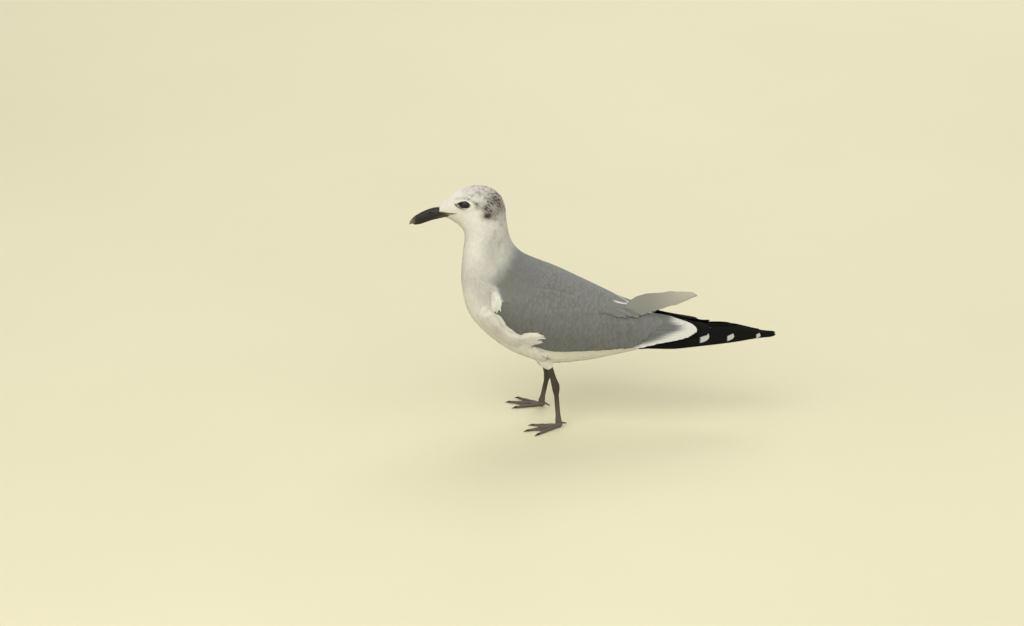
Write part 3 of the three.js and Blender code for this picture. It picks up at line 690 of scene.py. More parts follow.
def dusk_mark(points):
    """The winter hood: a dark ear patch, curved bars behind it, and fine spots from the crown to the nape."""
    x, y, z = points.T
    cheek = smoothstep(np.abs(y), 6, 12)
    patch = np.sum(((points[:, [0, 2]] - EAR["centre"]) / EAR["size"]) ** 2, 1)
    ear = np.exp(-patch) * (0.75 + 0.2 * (lattice_noise(points, 1.4, 2) - 0.5))
    line = np.exp(-((z - 267 + 0.25 * (x + 135)) / 3.6) ** 2)
    line = line * (0.7 + 0.6 * (lattice_noise(points, 1.6, 17) - 0.5))
    behind_eye = line * between(x, -139, -133, -124, -116)
    turn_x, turn_z = x - BARS["centre"][0], z - BARS["centre"][1]
    ring = np.hypot(turn_x, turn_z) + 1.6 * (lattice_noise(points, 6, 11) - 0.5)
    bars = 0.5 + 0.5 * np.sin(ring * 2 * np.pi / BARS["apart"])
    angle = np.degrees(np.arctan2(turn_z, turn_x))
    barred = between(ring, 9, 15, 30, 38) * between(angle, 2, 24, 46, 76)
    rear = smoothstep(x + 0.35 * (z - 262), -136, -106) * smoothstep(z, 236, 256)
    cloud = 0.4 + 0.6 * smoothstep(lattice_noise(points, 5, 9), 0.2, 0.7)
    spots = smoothstep(lattice_noise(points, 1.5, 5), 0.46, 0.78) * cloud
    crown = smoothstep(x, -153, -143) * smoothstep(z, 266, 271)
    nape = smoothstep(x, -118, -103) * smoothstep(z, 205, 245)
    freckled = smoothstep(lattice_noise(points, 4.5, 21), 0.62, 0.85)
    faint = smoothstep(z, 205, 225) * smoothstep(x, -130, -112) * freckled
    dusk = (ear + 0.62 * behind_eye) * cheek + barred * (0.27 + 0.26 * bars * cloud)
    dusk = dusk + rear * (0.22 + 0.3 * spots) + crown * (0.1 + 0.4 * spots) + 0.14 * nape + 0.2 * faint
    dusk = dusk + around_eye(points) + 0.95 * gape_line(points)
    return np.clip(dusk, 0, 1) * (1 - eye_crescents(points))


# ---------------------------------------------------------------- skin

def body_shell(u_from=0.02, rows=260):
    """The body from a station to the bill without its coat, closed at both ends."""
    u, angle = np.meshgrid(np.linspace(u_from, FACE_END, rows), turns(120), indexing="ij")
    point, normal, _, _ = body_frame(u, angle)
    return tube(point - normal * at(COAT, u, DEPTH)[..., None])


def wing_shell(side, end, depth_at_end):
    """The arm of a folded wing without its coat, up to x = end, where it has another depth."""
    x, t = np.meshgrid(np.linspace(WING_SKIN["from"], end, 90), np.linspace(0.03, 0.97, 30), indexing="ij")
    top = WING_SKIN["depth"] + (depth_at_end - WING_SKIN["depth"]) * smoothstep(x, 25, 55)
    thickness = 0.8 + (at(WING_ROWS, x, 6) - 0.8) * np.sin(np.pi * t) ** 0.5
    bottom = np.maximum(thickness, top + 1.2)
    rings = np.concatenate([wing_point(x, t, top), wing_point(x, t, bottom)[:, ::-1]], axis=1)
    return tube(rings * [1, side, 1])


def joints_of(name, side, *joints):
    """Places of a leg's joints on its side of the bird."""
    return [np.array(LEGS[name][joint], float) * [1, side, 1] for joint in joints]


def thigh_shell(name, side):
    hip, knee = joints_of(name, side, "hip", "knee")
    share = np.linspace(-0.2, 1.02, 16)[:, None, None]
    widths = [np.interp(share, [0, 0.55, 1], [at_hip, at_hip * THIGH["middle"], at_knee]) - 1.2
              for at_hip, at_knee in zip(THIGH["hip"], THIGH["knee"])]
    axis = knee - hip
    fore = unit(np.cross(axis, [0, 1, 0]))
    return swept(hip + share * axis, fore, unit(np.cross(axis, fore)), *widths, 28)


def shells(wing):
    """Body, folded wings and thighs without their coat, with the wings as far back as the given sizes say."""
    parts = [body_shell()]
    for name, side in SIDES.items():
        parts += [wing_shell(side, wing["to"], wing["end_depth"]), thigh_shell(name, side)]
    return parts


class Surface:
    """The shape of a mesh as something to lay feathers on. The mesh itself isn't kept."""

    def __init__(self, piece):
        points, normals = shape_of(piece)
        polygons = [tuple(polygon.vertices) for polygon in piece.data.polygons]
        self.tree = BVHTree.FromPolygons(points.tolist(), polygons)
        self.normals = unit(np.array([normals[list(corners)].mean(0) for corners in polygons]))
        bpy.data.objects.remove(piece)

    def nearest(self, points):
        """Nearest points of the skin, and its smooth normals there."""
        found = [self.tree.find_nearest(point) for point in points.tolist()]
        return np.array([hit[0][:] for hit in found]), self.normals[[hit[2] for hit in found]]


def make_bed():
    """The surface that feathers lie on: the skin, with the flight feathers of the folded wings."""
    piece = fused("bed", shells(WING_BED), 1.4, 6)
    points, normals = shape_of(piece)
    distance, _ = to_edge(points, BREAST_EDGE)
    flank = PUFF["flank"] * smoothstep(distance, 0, PUFF["flank_edge"])
    flank = flank * smoothstep(distance, PUFF["flank_reach"], 8)
    flank = flank * inside(points, BREAST) * smoothstep(points[:, 2], 150, 140)
    distance, _ = to_edge(points, CRESCENT)
    tuft = PUFF["crescent"] * smoothstep(distance, 0, PUFF["crescent_edge"]) * inside(points, CRESCENT)
    tuft = tuft * smoothstep(points[:, 0], -123, -111)
    outward = np.abs(points[:, 1]) > 30
    move_points(piece, points + normals * (np.maximum(flank, tuft) * outward)[:, None])
    return Surface(piece)


def make_head_bed():
    """The surface that the feathers of the head lie on: the skin, with the lids over the eyes."""
    radii = np.full(3, EYE["radius"] + 0.3)
    eyes = [ellipsoid(EYE["centre"] * [1, side, 1], radii) for side in SIDES.values()]
    return Surface(fused("head_bed", [body_shell(12.2, 120), *eyes], 0.7, 4))


# ---------------------------------------------------------------- feathers

# Shapes of a small feather: shares of its length, and of its greatest width there
SOFT_VANE = [[0, 0.3, 0.62, 0.84, 1.0], [0.5, 1.0, 0.95, 0.62, 0.08]]
ROUND_VANE = [[0, 0.3, 0.6, 0.8, 0.93, 1.0], [0.5, 0.95, 1.0, 0.9, 0.6, 0.15]]
LONG_VANE = [
    [0, 0.2, 0.4, 0.6, 0.74, 0.85, 0.93, 0.98, 1.0],
    [0.4, 0.8, 0.97, 1.0, 0.96, 0.85, 0.64, 0.36, 0.1],
]
BAKE_PATCH = 0.003  # size of a feather's patch on the map OFBake


def vane_rim(sections, across):
    """Which points of a vane lie on its edge."""
    rim = np.zeros((sections, across), bool)
    rim[[0, -1]] = True
    rim[:, [0, -1]] = True
    return np.concatenate([rim.ravel(), np.zeros(sections * (across - 2), bool)])


def vane_faces(sections, across):
    """Triangles of a closed vane: a grid above, one below that shares its edges, and both ends."""
    above = np.arange(sections * across).reshape(sections, across)
    below = above.copy()
    below[:, 1:-1] = above.size + np.arange(sections * (across - 2)).reshape(sections, -1)
    grid = grid_faces(sections, across)
    start = np.stack([above[0, 1:], above[0, :-1], below[0, :-1], below[0, 1:]], 1)
    end = np.stack([above[-1, :-1], above[-1, 1:], below[-1, 1:], below[-1, :-1]], 1)
    return triangles_of(np.concatenate([grid, below.ravel()[grid[:, [1, 0, 3, 2]]], start, end]))


def vane_grid(shares, across):
    """Where the points of a vane lie, as shares of its length and of its half width."""
    beside = np.linspace(-1, 1, across)
    along_it = np.concatenate([np.repeat(shares, across), np.repeat(shares, across - 2)])
    return along_it, np.concatenate([np.tile(beside, len(shares)), np.tile(beside[1:-1], len(shares))])


def bent_vanes(surface, root, lie, length, width, lift, rise, shape, across, thickness, fray, tilt):
    """Points of one closed vane for each root, bent along the surface in the direction it lies.

    The vane leaves the surface at the height lift and ends higher by rise. tilt raises one of its edges and
    lowers the other, so each vane covers its neighbour's edge.
    """
    shares, widths = np.array(shape)
    count, sections = len(root), len(shares)
    middle, normal = surface.nearest(root)
    direction = unit(lie - normal * np.sum(lie * normal, 1, keepdims=True))
    above = np.zeros((count, sections, across, 3))
    below = np.zeros((count, sections, across, 3))
    travelled = 0.0
    for k, share in enumerate(shares):
        if k:
            middle, normal = surface.nearest(middle + direction * (length * (share - travelled))[:, None])
            direction = unit(direction - normal * np.sum(direction * normal, 1, keepdims=True))
            travelled = share
        side = np.cross(normal, direction)
        height = lift + rise * (1 - (1 - share) ** 1.2)
        for j, c in enumerate(np.linspace(-1, 1, across)):
            half = width / 2 * widths[k] * (1 + rng.normal(0, fray, count) * (share > 0.55))
            base, up = middle, normal
            if c:
                ahead = direction * (rng.normal(0, fray, count) * 0.12 * length * (share > 0.9))[:, None]
                base, up = surface.nearest(middle + side * (c * half)[:, None] + ahead)
            leaning = height + tilt * c
            above[:, k, j] = base + up * (leaning + thickness * (1 - c * c))[:, None]
            below[:, k, j] = base + up * leaning[:, None]
    inner = below[:, :, 1:-1].reshape(count, -1, 3)
    return np.concatenate([above.reshape(count, -1, 3), inner], axis=1)


def lay_feathers(name, surface, material, root, lie, length, width, lift, rise, unwrapped, shape=SOFT_VANE,
                 across=3, thickness=0.07, fray=0.07, tilt=0.08, marks=None):
    """A coat piece: one bent vane for each root.

    unwrapped is each root's place, 0 to 1 both ways, on the unwrap of the skin's own shape. marks are values,
    one for each feather or point, or functions of the points and of their share of the way to the tip.
    """
    points = bent_vanes(surface, root, lie, length, width, lift, rise, shape, across, thickness, fray, tilt)
    count, each = points.shape[:2]
    points = points.reshape(-1, 3)
    shares = np.array(shape[0])
    sections = len(shares)
    faces = (vane_faces(sections, across)[None] + np.arange(count)[:, None, None] * each).reshape(-1, 3)
    piece = new_object(name, points, faces, material, np.tile(vane_rim(sections, across), count))

    along_it, across_it = vane_grid(shares, across)
    spot = unwrapped[:, None] + np.stack([across_it, 2 * along_it - 1], -1)[None] * BAKE_PATCH / 2
    set_map(piece, "OFBake", spot.reshape(-1, 2))
    vane = np.stack([across_it[None] * width[:, None] / 2, along_it[None] * length[:, None]], -1)
    set_map(piece, "vane", vane.reshape(-1, 2))
    for mark, values in (marks or {"grey": grey_mark_and_shade(points), "dusk": dusk_mark(points)}).items():
        values = np.asarray(values(points, np.tile(along_it, count)) if callable(values) else values, float)
        if values.size != len(points):
            values = np.repeat(np.broadcast_to(values, count), each)
        set_attribute(piece, mark, values)
    set_attribute(piece, "tone", np.repeat(rng.random(count), each))
    return piece


# Coat of the body: [first station, last station, first and last angle in degrees, rows' spacing against COAT,
# length in rows, width in side spacings, shape]. 90 degrees is the top of the back.
BODY_TRACTS = {
    "tail_base": [0.1, 1.8, 0, 360, 0.7, 5.0, 2.0, ROUND_VANE],
    "rump": [1.5, 5.0, 48, 132, 0.8, 5.0, 2.0, ROUND_VANE],
    "mantle": [6.4, 9.9, 20, 160, 1.0, 5.0, 2.0, SOFT_VANE],
    "vent": [1.5, 4.5, 140, 400, 1.0, 4.8, 2.0, SOFT_VANE],
    "belly": [4.3, 7.0, 140, 400, 1.0, 4.8, 2.0, SOFT_VANE],
    "breast": [6.8, 9.8, 140, 400, 1.0, 4.8, 2.0, SOFT_VANE],
    "neck": [9.4, 12.4, 0, 360, 0.85, 5.6, 1.8, SOFT_VANE],
    "nape": [12.2, 14.0, 0, 360, 0.75, 6.0, 1.7, SOFT_VANE],
    "crown": [13.9, 16.2, 0, 360, 0.65, 6.0, 1.7, SOFT_VANE],
    "face": [16.1, 17.85, 0, 360, 0.65, 5.6, 1.7, SOFT_VANE],
}
HEAD_FROM = 13  # station from which the tracts lie on the head's own bed
STAGGER = 1.15  # distance between roots in a row, against the distance between rows

# The bill shows behind the face's front edge as a wedge up to the corner of the mouth: [x, z] from the side
GAPE = [
    [-179, 256.4], [-175.5, 254.6], [-164.3, 255.2], [-155.5, 256.5], [-163, 253.2],
    [-169.8, 248.4], [-179, 244],
]


def body_lattice(u_from, u_to, low, high, coarse):
    """Staggered roots of body feathers: station, angle, root, lie, way round, and spacing both ways."""
    u, rows = u_from, []
    span = high - low
    while u < u_to:
        _, _, du, da = body_frame(u, low + span * np.linspace(0, 1, 49)[:-1])
        step = at(COAT, u, ROWS) * coarse
        count = int(round(np.linalg.norm(da, axis=1).mean() * span / (STAGGER * step)))
        angle = low + (np.arange(count) + 0.5 * (len(rows) % 2)) * span / count
        du_row = step / np.linalg.norm(du, axis=1).mean()
        rows.append(np.stack(np.broadcast_arrays(u, angle, du_row, span / count), 1))
        u += du_row
    u, angle, du_row, da_row = np.concatenate(rows).T
    u = np.clip(u + rng.uniform(-0.4, 0.4, len(u)) * du_row, 0.05, FACE_END)
    angle = angle + rng.uniform(-0.35, 0.35, len(u)) * da_row
    point, normal, du, da = body_frame(u, angle)
    step = at(COAT, u, ROWS) * coarse
    along_row = np.clip(np.linalg.norm(du, axis=1) * du_row, 0.55 * step, 1.8 * step)
    beside = np.linalg.norm(da, axis=1) * da_row
    return u, angle, point - normal * at(COAT, u, DEPTH)[:, None], -unit(du), unit(da), along_row, beside


def in_eye(points, grow):
    """Whether points lie in the opening between the lids of either eye, grown by a margin."""
    found = np.zeros(len(points), bool)
    for side in SIDES.values():
        local = (points - LID["centre"] * [1, side, 1]) @ lid_turn(side)
        across = np.abs(local[:, 0]) / (LID["opening"][0] + grow)
        height = np.maximum(1 - across ** 2, 0) ** (LID["corner"] / 2)
        found |= (np.abs(local[:, 2]) < (LID["opening"][1] + grow) * height) & (points[:, 1] * side > 8)
    return found


def in_gape(points):
    return inside(points, GAPE) & (np.abs(points[:, 1]) > 2.5)


def body_coat(bed, head_bed, material):
    pieces = []
    for tract, (u_from, u_to, low, high, coarse, rows_long, broad, shape) in BODY_TRACTS.items():
        on_head = u_from > HEAD_FROM
        surface = head_bed if on_head else bed
        lattice = body_lattice(u_from, u_to, math.radians(low), math.radians(high), coarse)
        u, angle, root, lie, around, row, beside = lattice
        length = row * rows_long * rng.uniform(0.85, 1.15, len(u))
        middle, tip = root + lie * length[:, None] * 0.5, root + lie * length[:, None]
        buried = np.linalg.norm(surface.nearest(root)[0] - root, axis=1) > (3.0 if on_head else 1.3)
        white = inside(root, BREAST)
        hidden = (over_wing(root) & ~white) | (over_wing(tip) & ~inside(tip, BREAST) & white)
        in_tuft = (np.abs(root[:, 1]) > 30) & (inside(root, CRESCENT) | inside(middle, CRESCENT))
        bare = in_eye(root, 0.5) | in_eye(middle, 0.5) | in_eye(tip, 0.4) | in_gape(root) | in_gape(middle)
        u, angle, root, lie, around, length, beside = kept(
            ~(buried | hidden | in_tuft | bare), u, angle, root, lie, around, length, beside)
        lie = unit(lie + around * rng.normal(0, 0.1, (len(u), 1)))
        unwrapped = np.stack([0.02 + 0.96 * u / LAST, 0.02 + 0.56 * (angle % (2 * np.pi)) / (2 * np.pi)], 1)
        on_shoulder = (np.abs(root[:, 1]) > 28) & (root[:, 2] > 148)
        rise = at(COAT, u, DEPTH) * rng.uniform(0.45, 0.52, len(u)) * np.where(on_shoulder, 0.6, 1)
        piece = lay_feathers(f"coat_{tract}", surface, material, root, lie, length, beside * broad,
                             0.3 * at(COAT, u, DEPTH), rise, unwrapped, shape)
        pieces.append(piece)
    return pieces


# Coverts of the folded wing: [x, distance between rows, length of a feather]
COVERTS = [[-114, 2.4, 9], [-80, 3.4, 13], [-40, 4.6, 19], [10, 6, 25], [50, 7, 27]]
# How far back the coverts reach over the flight feathers: [share up the wing, x]
COVERTS_END = [[0, 38], [0.1, 44], [0.2, 52], [0.35, 62], [0.5, 70], [0.7, 78], [1, 74]]
# Lower edge of the scapulars, which lie over the coverts: [x, share up the wing]
SCAPULAR_EDGE = [[-80, 0.72], [-68, 0.62], [-48, 0.64], [-20, 0.72], [0, 0.78], [36, 0.87], [60, 0.95]]
# White crescent behind the scapulars: [x, distance from the middle of the back]
WHITE_CRESCENT = [[25, 11.5], [33, 8.5], [42, 1.5]]
# Tips of the worn tertial's barbs and where they start: [x, share up the wing]
WORN_TIPS = [
    [12, 0.86], [21, 0.82], [31, 0.785], [38, 0.75], [44, 0.81], [51, 0.765], [55, 0.84],
    [54, 0.92], [50, 0.98],
]
WORN_ROOT = [-4, 0.98]
CURVED = 1.12  # length round the wing's outer face against its chord


def wing_lattice(x_from, x_to):
    """Roots on the right wing: x, share up the wing, and spacing across in millimetres."""
    x, rows = x_from, []
    while x < x_to:
        step = at(COVERTS, x)
        count = max(int(round(wing_chord(x) * CURVED / (STAGGER * step))), 2)
        t = (np.arange(count) + 0.25 + 0.5 * (len(rows) % 2)) / count
        rows.append(np.stack(np.broadcast_arrays(x, t, step, 1 / count), 1))
        x += step
    x, t, row, share = np.concatenate(rows).T
    x = x + rng.uniform(-0.3, 0.3, len(x)) * row
    t = np.clip(t + rng.uniform(-0.3, 0.3, len(x)) * share, 0.02, 0.98)
    return x, t, share * wing_chord(x) * CURVED


def wing_unwrap(x, t, side):
    """Places of roots on the map OFBake, on which each side's wing has a strip of its own."""
    strip = 0.62 if side < 0 else 0.81
    return np.stack([0.02 + 0.96 * (x + 130) / 260, strip + 0.16 * np.clip(t, 0, 1.1) / 1.1], 1)


def wing_lie(x, t, side):
    return unit(wing_point(x + 1, t) - wing_point(x - 1, t)) * [1, side, 1]


def wing_coat(name, side, bed, material):
    """Coverts of one wing, small at the bend and long over the flight feathers."""
    x, t, beside = wing_lattice(WING_SKIN["from"] + 1, 60)
    length = at(COVERTS, x, 2) * rng.uniform(0.9, 1.1, len(x))
    end = at(COVERTS_END, t) + rng.uniform(-2.5, 2.5, len(x))
    uncovered = (t < at(SCAPULAR_EDGE, x) + 0.13) | (x < -88) | (x > 50)
    x, t, beside, length, end = kept((x + 0.55 * length < end) & uncovered, x, t, beside, length, end)
    length = np.minimum(length, end - x)
    root = wing_point(x, t, WING_SKIN["depth"]) * [1, side, 1]
    hidden = inside(root, BREAST) & inside(root + [12, 0, 0], BREAST) & inside(root + [4, 0, 0], BREAST)
    x, t, beside, length, end, root = kept(~hidden, x, t, beside, length, end, root)
    last = smoothstep(x + length - end, -9, -1)
    rise = np.interp(x, [-114, -60, 50], [0.5, 0.75, 0.85]) * rng.uniform(0.96, 1.0, len(x))
    rise = rise * (1 - 0.5 * last)
    share, _ = vane_grid(ROUND_VANE[0], 5)
    grey = (0.99 - 0.05 * smoothstep(t, 0.2, 0.9))[:, None] - 0.05 * smoothstep(share, 0.85, 1)
    piece = lay_feathers(f"coat_wing_{name}", bed, material, root, wing_lie(x, t, side), length, beside * 1.8,
                         0.08, rise, wing_unwrap(x, t, side), ROUND_VANE, across=5, fray=0.04, tilt=0.05,
                         marks={"grey": grey.ravel(), "dusk": 0.0})
    return piece


def scapular_grey(points, share):
    """Grey with faintly paler tips, and white in a narrow crescent across the back."""
    off = np.abs(np.abs(points[:, 1]) - at(WHITE_CRESCENT, points[:, 0]))
    off = off + 1.2 * (lattice_noise(points, 2.5, 31) - 0.5)
    white = smoothstep(off, 2.1, 1.2) * smoothstep(points[:, 0], 22, 25)
    return 0.95 - 0.07 * smoothstep(share, 0.82, 1) - 0.8 * white


def scapulars(name, side, bed, material):
    """Long feathers from the shoulder over the upper wing, in tiers up to the middle of the back."""
    chosen = []
    for tier in range(14):
        for x_tip in np.arange(-84 + 3 * (tier % 2), 56, 6.0):
            x_tip = x_tip + rng.uniform(-2, 2)
            chosen.append([x_tip, at(SCAPULAR_EDGE, x_tip) + 0.065 * tier + rng.uniform(-0.015, 0.015), tier])
    x_tip, t_tip, tier = np.array(chosen).T
    length = np.interp(x_tip, [-84, -60, -30, 40], [13, 20, 27, 34]) * rng.uniform(0.92, 1.08, len(tier))
    x, t = x_tip - length, t_tip + 0.05
    past_back = np.maximum(t - 1, 0)[:, None] * wing_chord(x)[:, None] * [0, -0.95, 0.3]
    root = (wing_point(x, np.minimum(t, 1), -1.0) + past_back) * [1, side, 1]
    width = np.interp(x_tip, [-84, 40], [7, 13]) * rng.uniform(0.9, 1.1, len(tier))
    tip_point = wing_point(x_tip, np.minimum(t_tip, 1)) * [1, side, 1]
    keep = (x_tip < np.where(tier > 5, 42, 60)) & ~inside(tip_point, BREAST) & (root[:, 1] * side > 1)
    x, t, root, length, width, tier, x_tip = kept(keep, x, t, root, length, width, tier, x_tip)
    raised = np.interp(x_tip, [-84, -50, 20], [0.15, 0.35, 0.6])
    lift = raised + 0.05 * np.minimum(tier, 5) * smoothstep(x_tip, -80, -30)
    lie = wing_lie(x, np.minimum(t, 1), side)
    piece = lay_feathers(f"scapulars_{name}", bed, material, root, lie, length, width, lift,
                         0.45 + 0.4 * raised, wing_unwrap(x, t, side), LONG_VANE, across=7,
                         thickness=0.08, fray=0.03, tilt=0.04, marks={"grey": scapular_grey, "dusk": 0.0})
    return piece


def worn_tertials(bed, material):
    """Loose barbs of a worn tertial that lie over the rear edge of the left scapulars."""
    place = np.linspace(0, len(WORN_TIPS) - 1, 3 * len(WORN_TIPS))
    count = len(place)
    x_tip, t_tip = (np.interp(place, np.arange(len(WORN_TIPS)), column) + rng.uniform(-ragged, ragged, count)
                    for column, ragged in zip(np.transpose(WORN_TIPS), (1.2, 0.02)))
    x_root = WORN_ROOT[0] + rng.uniform(-3, 3, count)
    t_root = np.linspace(WORN_ROOT[1] - 0.06, WORN_ROOT[1] + 0.04, count)
    root = wing_point(x_root, t_root, -2.0) * [1, -1, 1]
    tip = wing_point(x_tip, t_tip, -2.0) * [1, -1, 1]
    way, width = tip - root, rng.uniform(4.5, 7.5, count)
    grey = rng.uniform(0.86, 0.93, count)
    piece = lay_feathers("worn_tertial_barbs", bed, material, root, unit(way), np.linalg.norm(way, axis=1),
                         width, -0.5, 2.8 + 0.06 * np.arange(count), wing_unwrap(x_root, t_root, -1),
                         LONG_VANE, across=5, thickness=0.08, fray=0.16, marks={"grey": grey, "dusk": 0.08})
    return piece


def side_lattice(bed, side, x_from, x_to, z_from, z_to, step):
    """Staggered roots on the surface as it is seen from one side."""
    gx, gz = np.meshgrid(np.arange(x_from, x_to, step), np.arange(z_from, z_to, step * 0.87))
    gx = gx + (np.arange(len(gx)) % 2)[:, None] * step / 2 + rng.uniform(-0.3, 0.3, gx.shape) * step
    gz = gz + rng.uniform(-0.3, 0.3, gz.shape) * step
    start = np.stack([gx.ravel(), np.full(gx.size, side * 90.0), gz.ravel()], -1)
    hits = [bed.tree.ray_cast(point, (0, -side, 0)) for point in start.tolist()]
    return np.array([hit[0][:] for hit in hits if hit[0] is not None])


def flank_coat(name, side, bed, material):
    """White feathers of breast and flank over the front of the wing, with tufts at the bend and below."""
    root = side_lattice(bed, side, -130, -50, 86, 187, 1.8)
    tuft = inside(root, CRESCENT)
    distance, way = to_edge(root, BREAST_EDGE)
    keep = (inside(root, BREAST) & (distance < 24) & (root[:, 1] * side > 20)) | tuft
    root, distance, way, tuft = kept(keep, root, distance, way, tuft)
    length = np.where(tuft, 9, 12) * rng.uniform(0.8, 1.2, len(root))
    share = smoothstep(distance, 22, 5)[:, None]
    flow = np.stack([way[:, 0], 0 * distance, way[:, 1]], -1)
    down = unit(np.array([0.75, 0, -0.65]))
    lie = unit(down * (1 - share) + flow * share + rng.normal(0, 0.05, (len(root), 3)))
    middle, short, ragged = (root + lie * length[:, None] * part for part in (0.5, 0.85, 0.9))
    in_tuft = inside(middle, CRESCENT) & (inside(short, CRESCENT) | ~inside(short, BREAST))
    keep = np.where(tuft, in_tuft, inside(middle, BREAST) & inside(ragged, BREAST))
    root, lie, length, distance, tuft = kept(keep, root, lie, length, distance, tuft)
    width = np.where(tuft, 2.4, 3.2 - 1.3 * smoothstep(root[:, 0], -84, -68))
    width = width * rng.uniform(0.8, 1.2, len(root))
    lift = np.where(tuft, 0.3, 0.4 + 0.6 * smoothstep(distance, 24, 10))
    grey = grey_mark_and_shade(root) * np.where(tuft, smoothstep(root[:, 0], -114, -121), 1)
    piece = lay_feathers(f"coat_flank_{name}", bed, material, root, lie, length, width, lift, 0.7,
                         wing_unwrap(root[:, 0], (root[:, 2] - 90) / 100, side), SOFT_VANE,
                         marks={"grey": grey, "dusk": 0.0})
    return piece


# ---------------------------------------------------------------- flight feathers

# Secondaries, from the lowest, and then tertials:
# [tip x, tip height, leading edge, trailing edge, length of the white tip]
SECONDARIES = [
    [62, 0.07, 0.02, 0.4, 20],
    [82, 0.115, 0.085, 0.5, 30],
    [97, 0.16, 0.125, 0.62, 33],
    [108.5, 0.235, 0.19, 0.74, 33],
    [115.5, 0.345, 0.29, 0.84, 30],
    [119, 0.48, 0.42, 0.86, 21],
    [112, 0.63, 0.54, 0.93, 13],
    [98, 0.8, 0.68, 0.99, 8],
]
SECONDARY = {"from": 34.3, "pitch": 0.26, "thickness": 0.1, "full_until": 0.66, "bluntness": 2.2, "fade": 9}

# Primaries, from the lowest: [tip x, leading edge, length and height of the white spot at the tip, and how
# far under the wing's outer face it may lie]
PRIMARIES = [
    [209, -0.02, 0.01, 0, 9], [191.5, -0.02, 6, 4.5, 9], [161, 0.02, 9, 5.5, 9], [132.5, 0.08, 11.5, 6.5, 9],
    [134, 0.36, 0.01, 0, 2.8], [121, 0.52, 0.01, 0, 2.3],
]
PRIMARY = {
    "from": 52, "step": 0.075, "width": 19, "pitch": 0.88, "thickness": 0.25, "under": 5.2, "bare": 0.8,
    "drop": 0.07, "drop_from": 58, "drop_to": 100,
}
OUTER_PRIMARIES = 2  # these reach past the folded wing and keep their width up to the tip
UNDER_COVERTS = [2, 74, 48]  # how deep flight feathers dip under the coverts, and the x between which they do
NO_LIMIT = 99  # height of a white tip that reaches right across its feather

RAISED_TERTIAL = {"root": [36, -18, 143], "tip": [118.5, -7.5, 156.5], "bend": 2.5, "camber": 6, "pale": 36}
# Its edges, in millimetres from the line between root and tip: [share of the way, lower edge, upper edge]
RAISED_EDGES = [
    [0, -1, 1.5], [0.04, -5, 5], [0.11, -9.4, 9], [0.22, -12.6, 11.2], [0.35, -11, 10.5], [0.53, -9.4, 8.8],
    [0.7, -8.6, 7.2], [0.87, -6, 3.6], [0.95, -4.4, 1.2], [1, -2.8, -1.4],
]

TAIL = {
    "pairs": 6, "from": 88, "tip": 166, "shorter": 0.6, "half_width": 11.4, "wider": 0.4, "pitch": 0.8,
    "root_z": 107.7, "tip_z": 106.9, "roof": 0.008,
}

# Shares of a flight feather's length at its sections and of its width at the points of a section
VANE_STEPS = np.concatenate([
    np.linspace(0, 0.6, 9)[:-1], np.linspace(0.6, 0.9, 8)[:-1], np.linspace(0.9, 1, 9)])[:, None]
SHAFT = 0.3
VANE_COLUMNS = np.array([0, 0.15, SHAFT - 0.035, SHAFT, SHAFT + 0.035, 0.48, 0.66, 0.84, 1])
RIDGE = (VANE_COLUMNS == SHAFT) * (1 - 0.8 * VANE_STEPS)  # of the shaft, thinner towards the tip


def tip_shape(full_until, bluntness):
    """How much of its full width a vane still has at its sections."""
    past = np.clip((VANE_STEPS - full_until) / (1 - full_until), 0, 1)
    return np.maximum((1 - past ** bluntness) ** (1 / bluntness), 0.03)


def under_coverts(x):
    deep, x_from, x_to = UNDER_COVERTS
    return deep * smoothstep(x, x_from, x_to)


def wing_vane(start, tip_x, tip, lead, trail, full_until, bluntness, depth, thickness, white, white_height,
              white_soft):
    """A flight feather of the right wing between the edges lead(x) and trail(x), at depth(x, t)."""
    x = start + VANE_STEPS * (tip_x - start)
    opened = tip_shape(full_until, bluntness)
    wave = 1 + 0.012 * np.sin(9 * VANE_STEPS + rng.uniform(0, 6)) * (VANE_STEPS > 0.3)
    low, high = tip + (lead(x) - tip) * opened, tip + (trail(x) - tip) * opened * wave
    t = low + (high - low) * VANE_COLUMNS
    x = np.broadcast_to(x, t.shape)
    top = depth(x, t) - 0.08 * RIDGE
    breadth = (high - low) * wing_chord(x)
    return dict(upper=wing_point(x, t, top), lower=wing_point(x, t, top + thickness), white=white,
                white_soft=white_soft, across=(VANE_COLUMNS - SHAFT) * breadth, along=x - start,
                from_tip=tip_x - x, past_white=VANE_COLUMNS * breadth - white_height)


def secondary_at(t):
    """Which secondary's leading edge is at a height, as a number with a fraction."""
    leads = np.array(SECONDARIES)[:, 2]
    j = np.clip(np.searchsorted(leads, t, side="right") - 1, 0, len(leads) - 2)
    return j + (t - leads[j]) / (leads[j + 1] - leads[j])


def secondary_vane(j):
    tip_x, tip, lead, trail, white = along(SECONDARIES, j)

    def depth(x, t):
        return 0.05 + under_coverts(x) + SECONDARY["pitch"] * np.maximum(secondary_at(t) - j, 0)

    return wing_vane(
        SECONDARY["from"], tip_x + rng.uniform(-0.8, 0.8), tip, lambda x: lead, lambda x: trail,
        SECONDARY["full_until"], SECONDARY["bluntness"], depth, SECONDARY["thickness"], white, NO_LIMIT,
        np.clip(SECONDARY["fade"] / white, 0.4, 1))


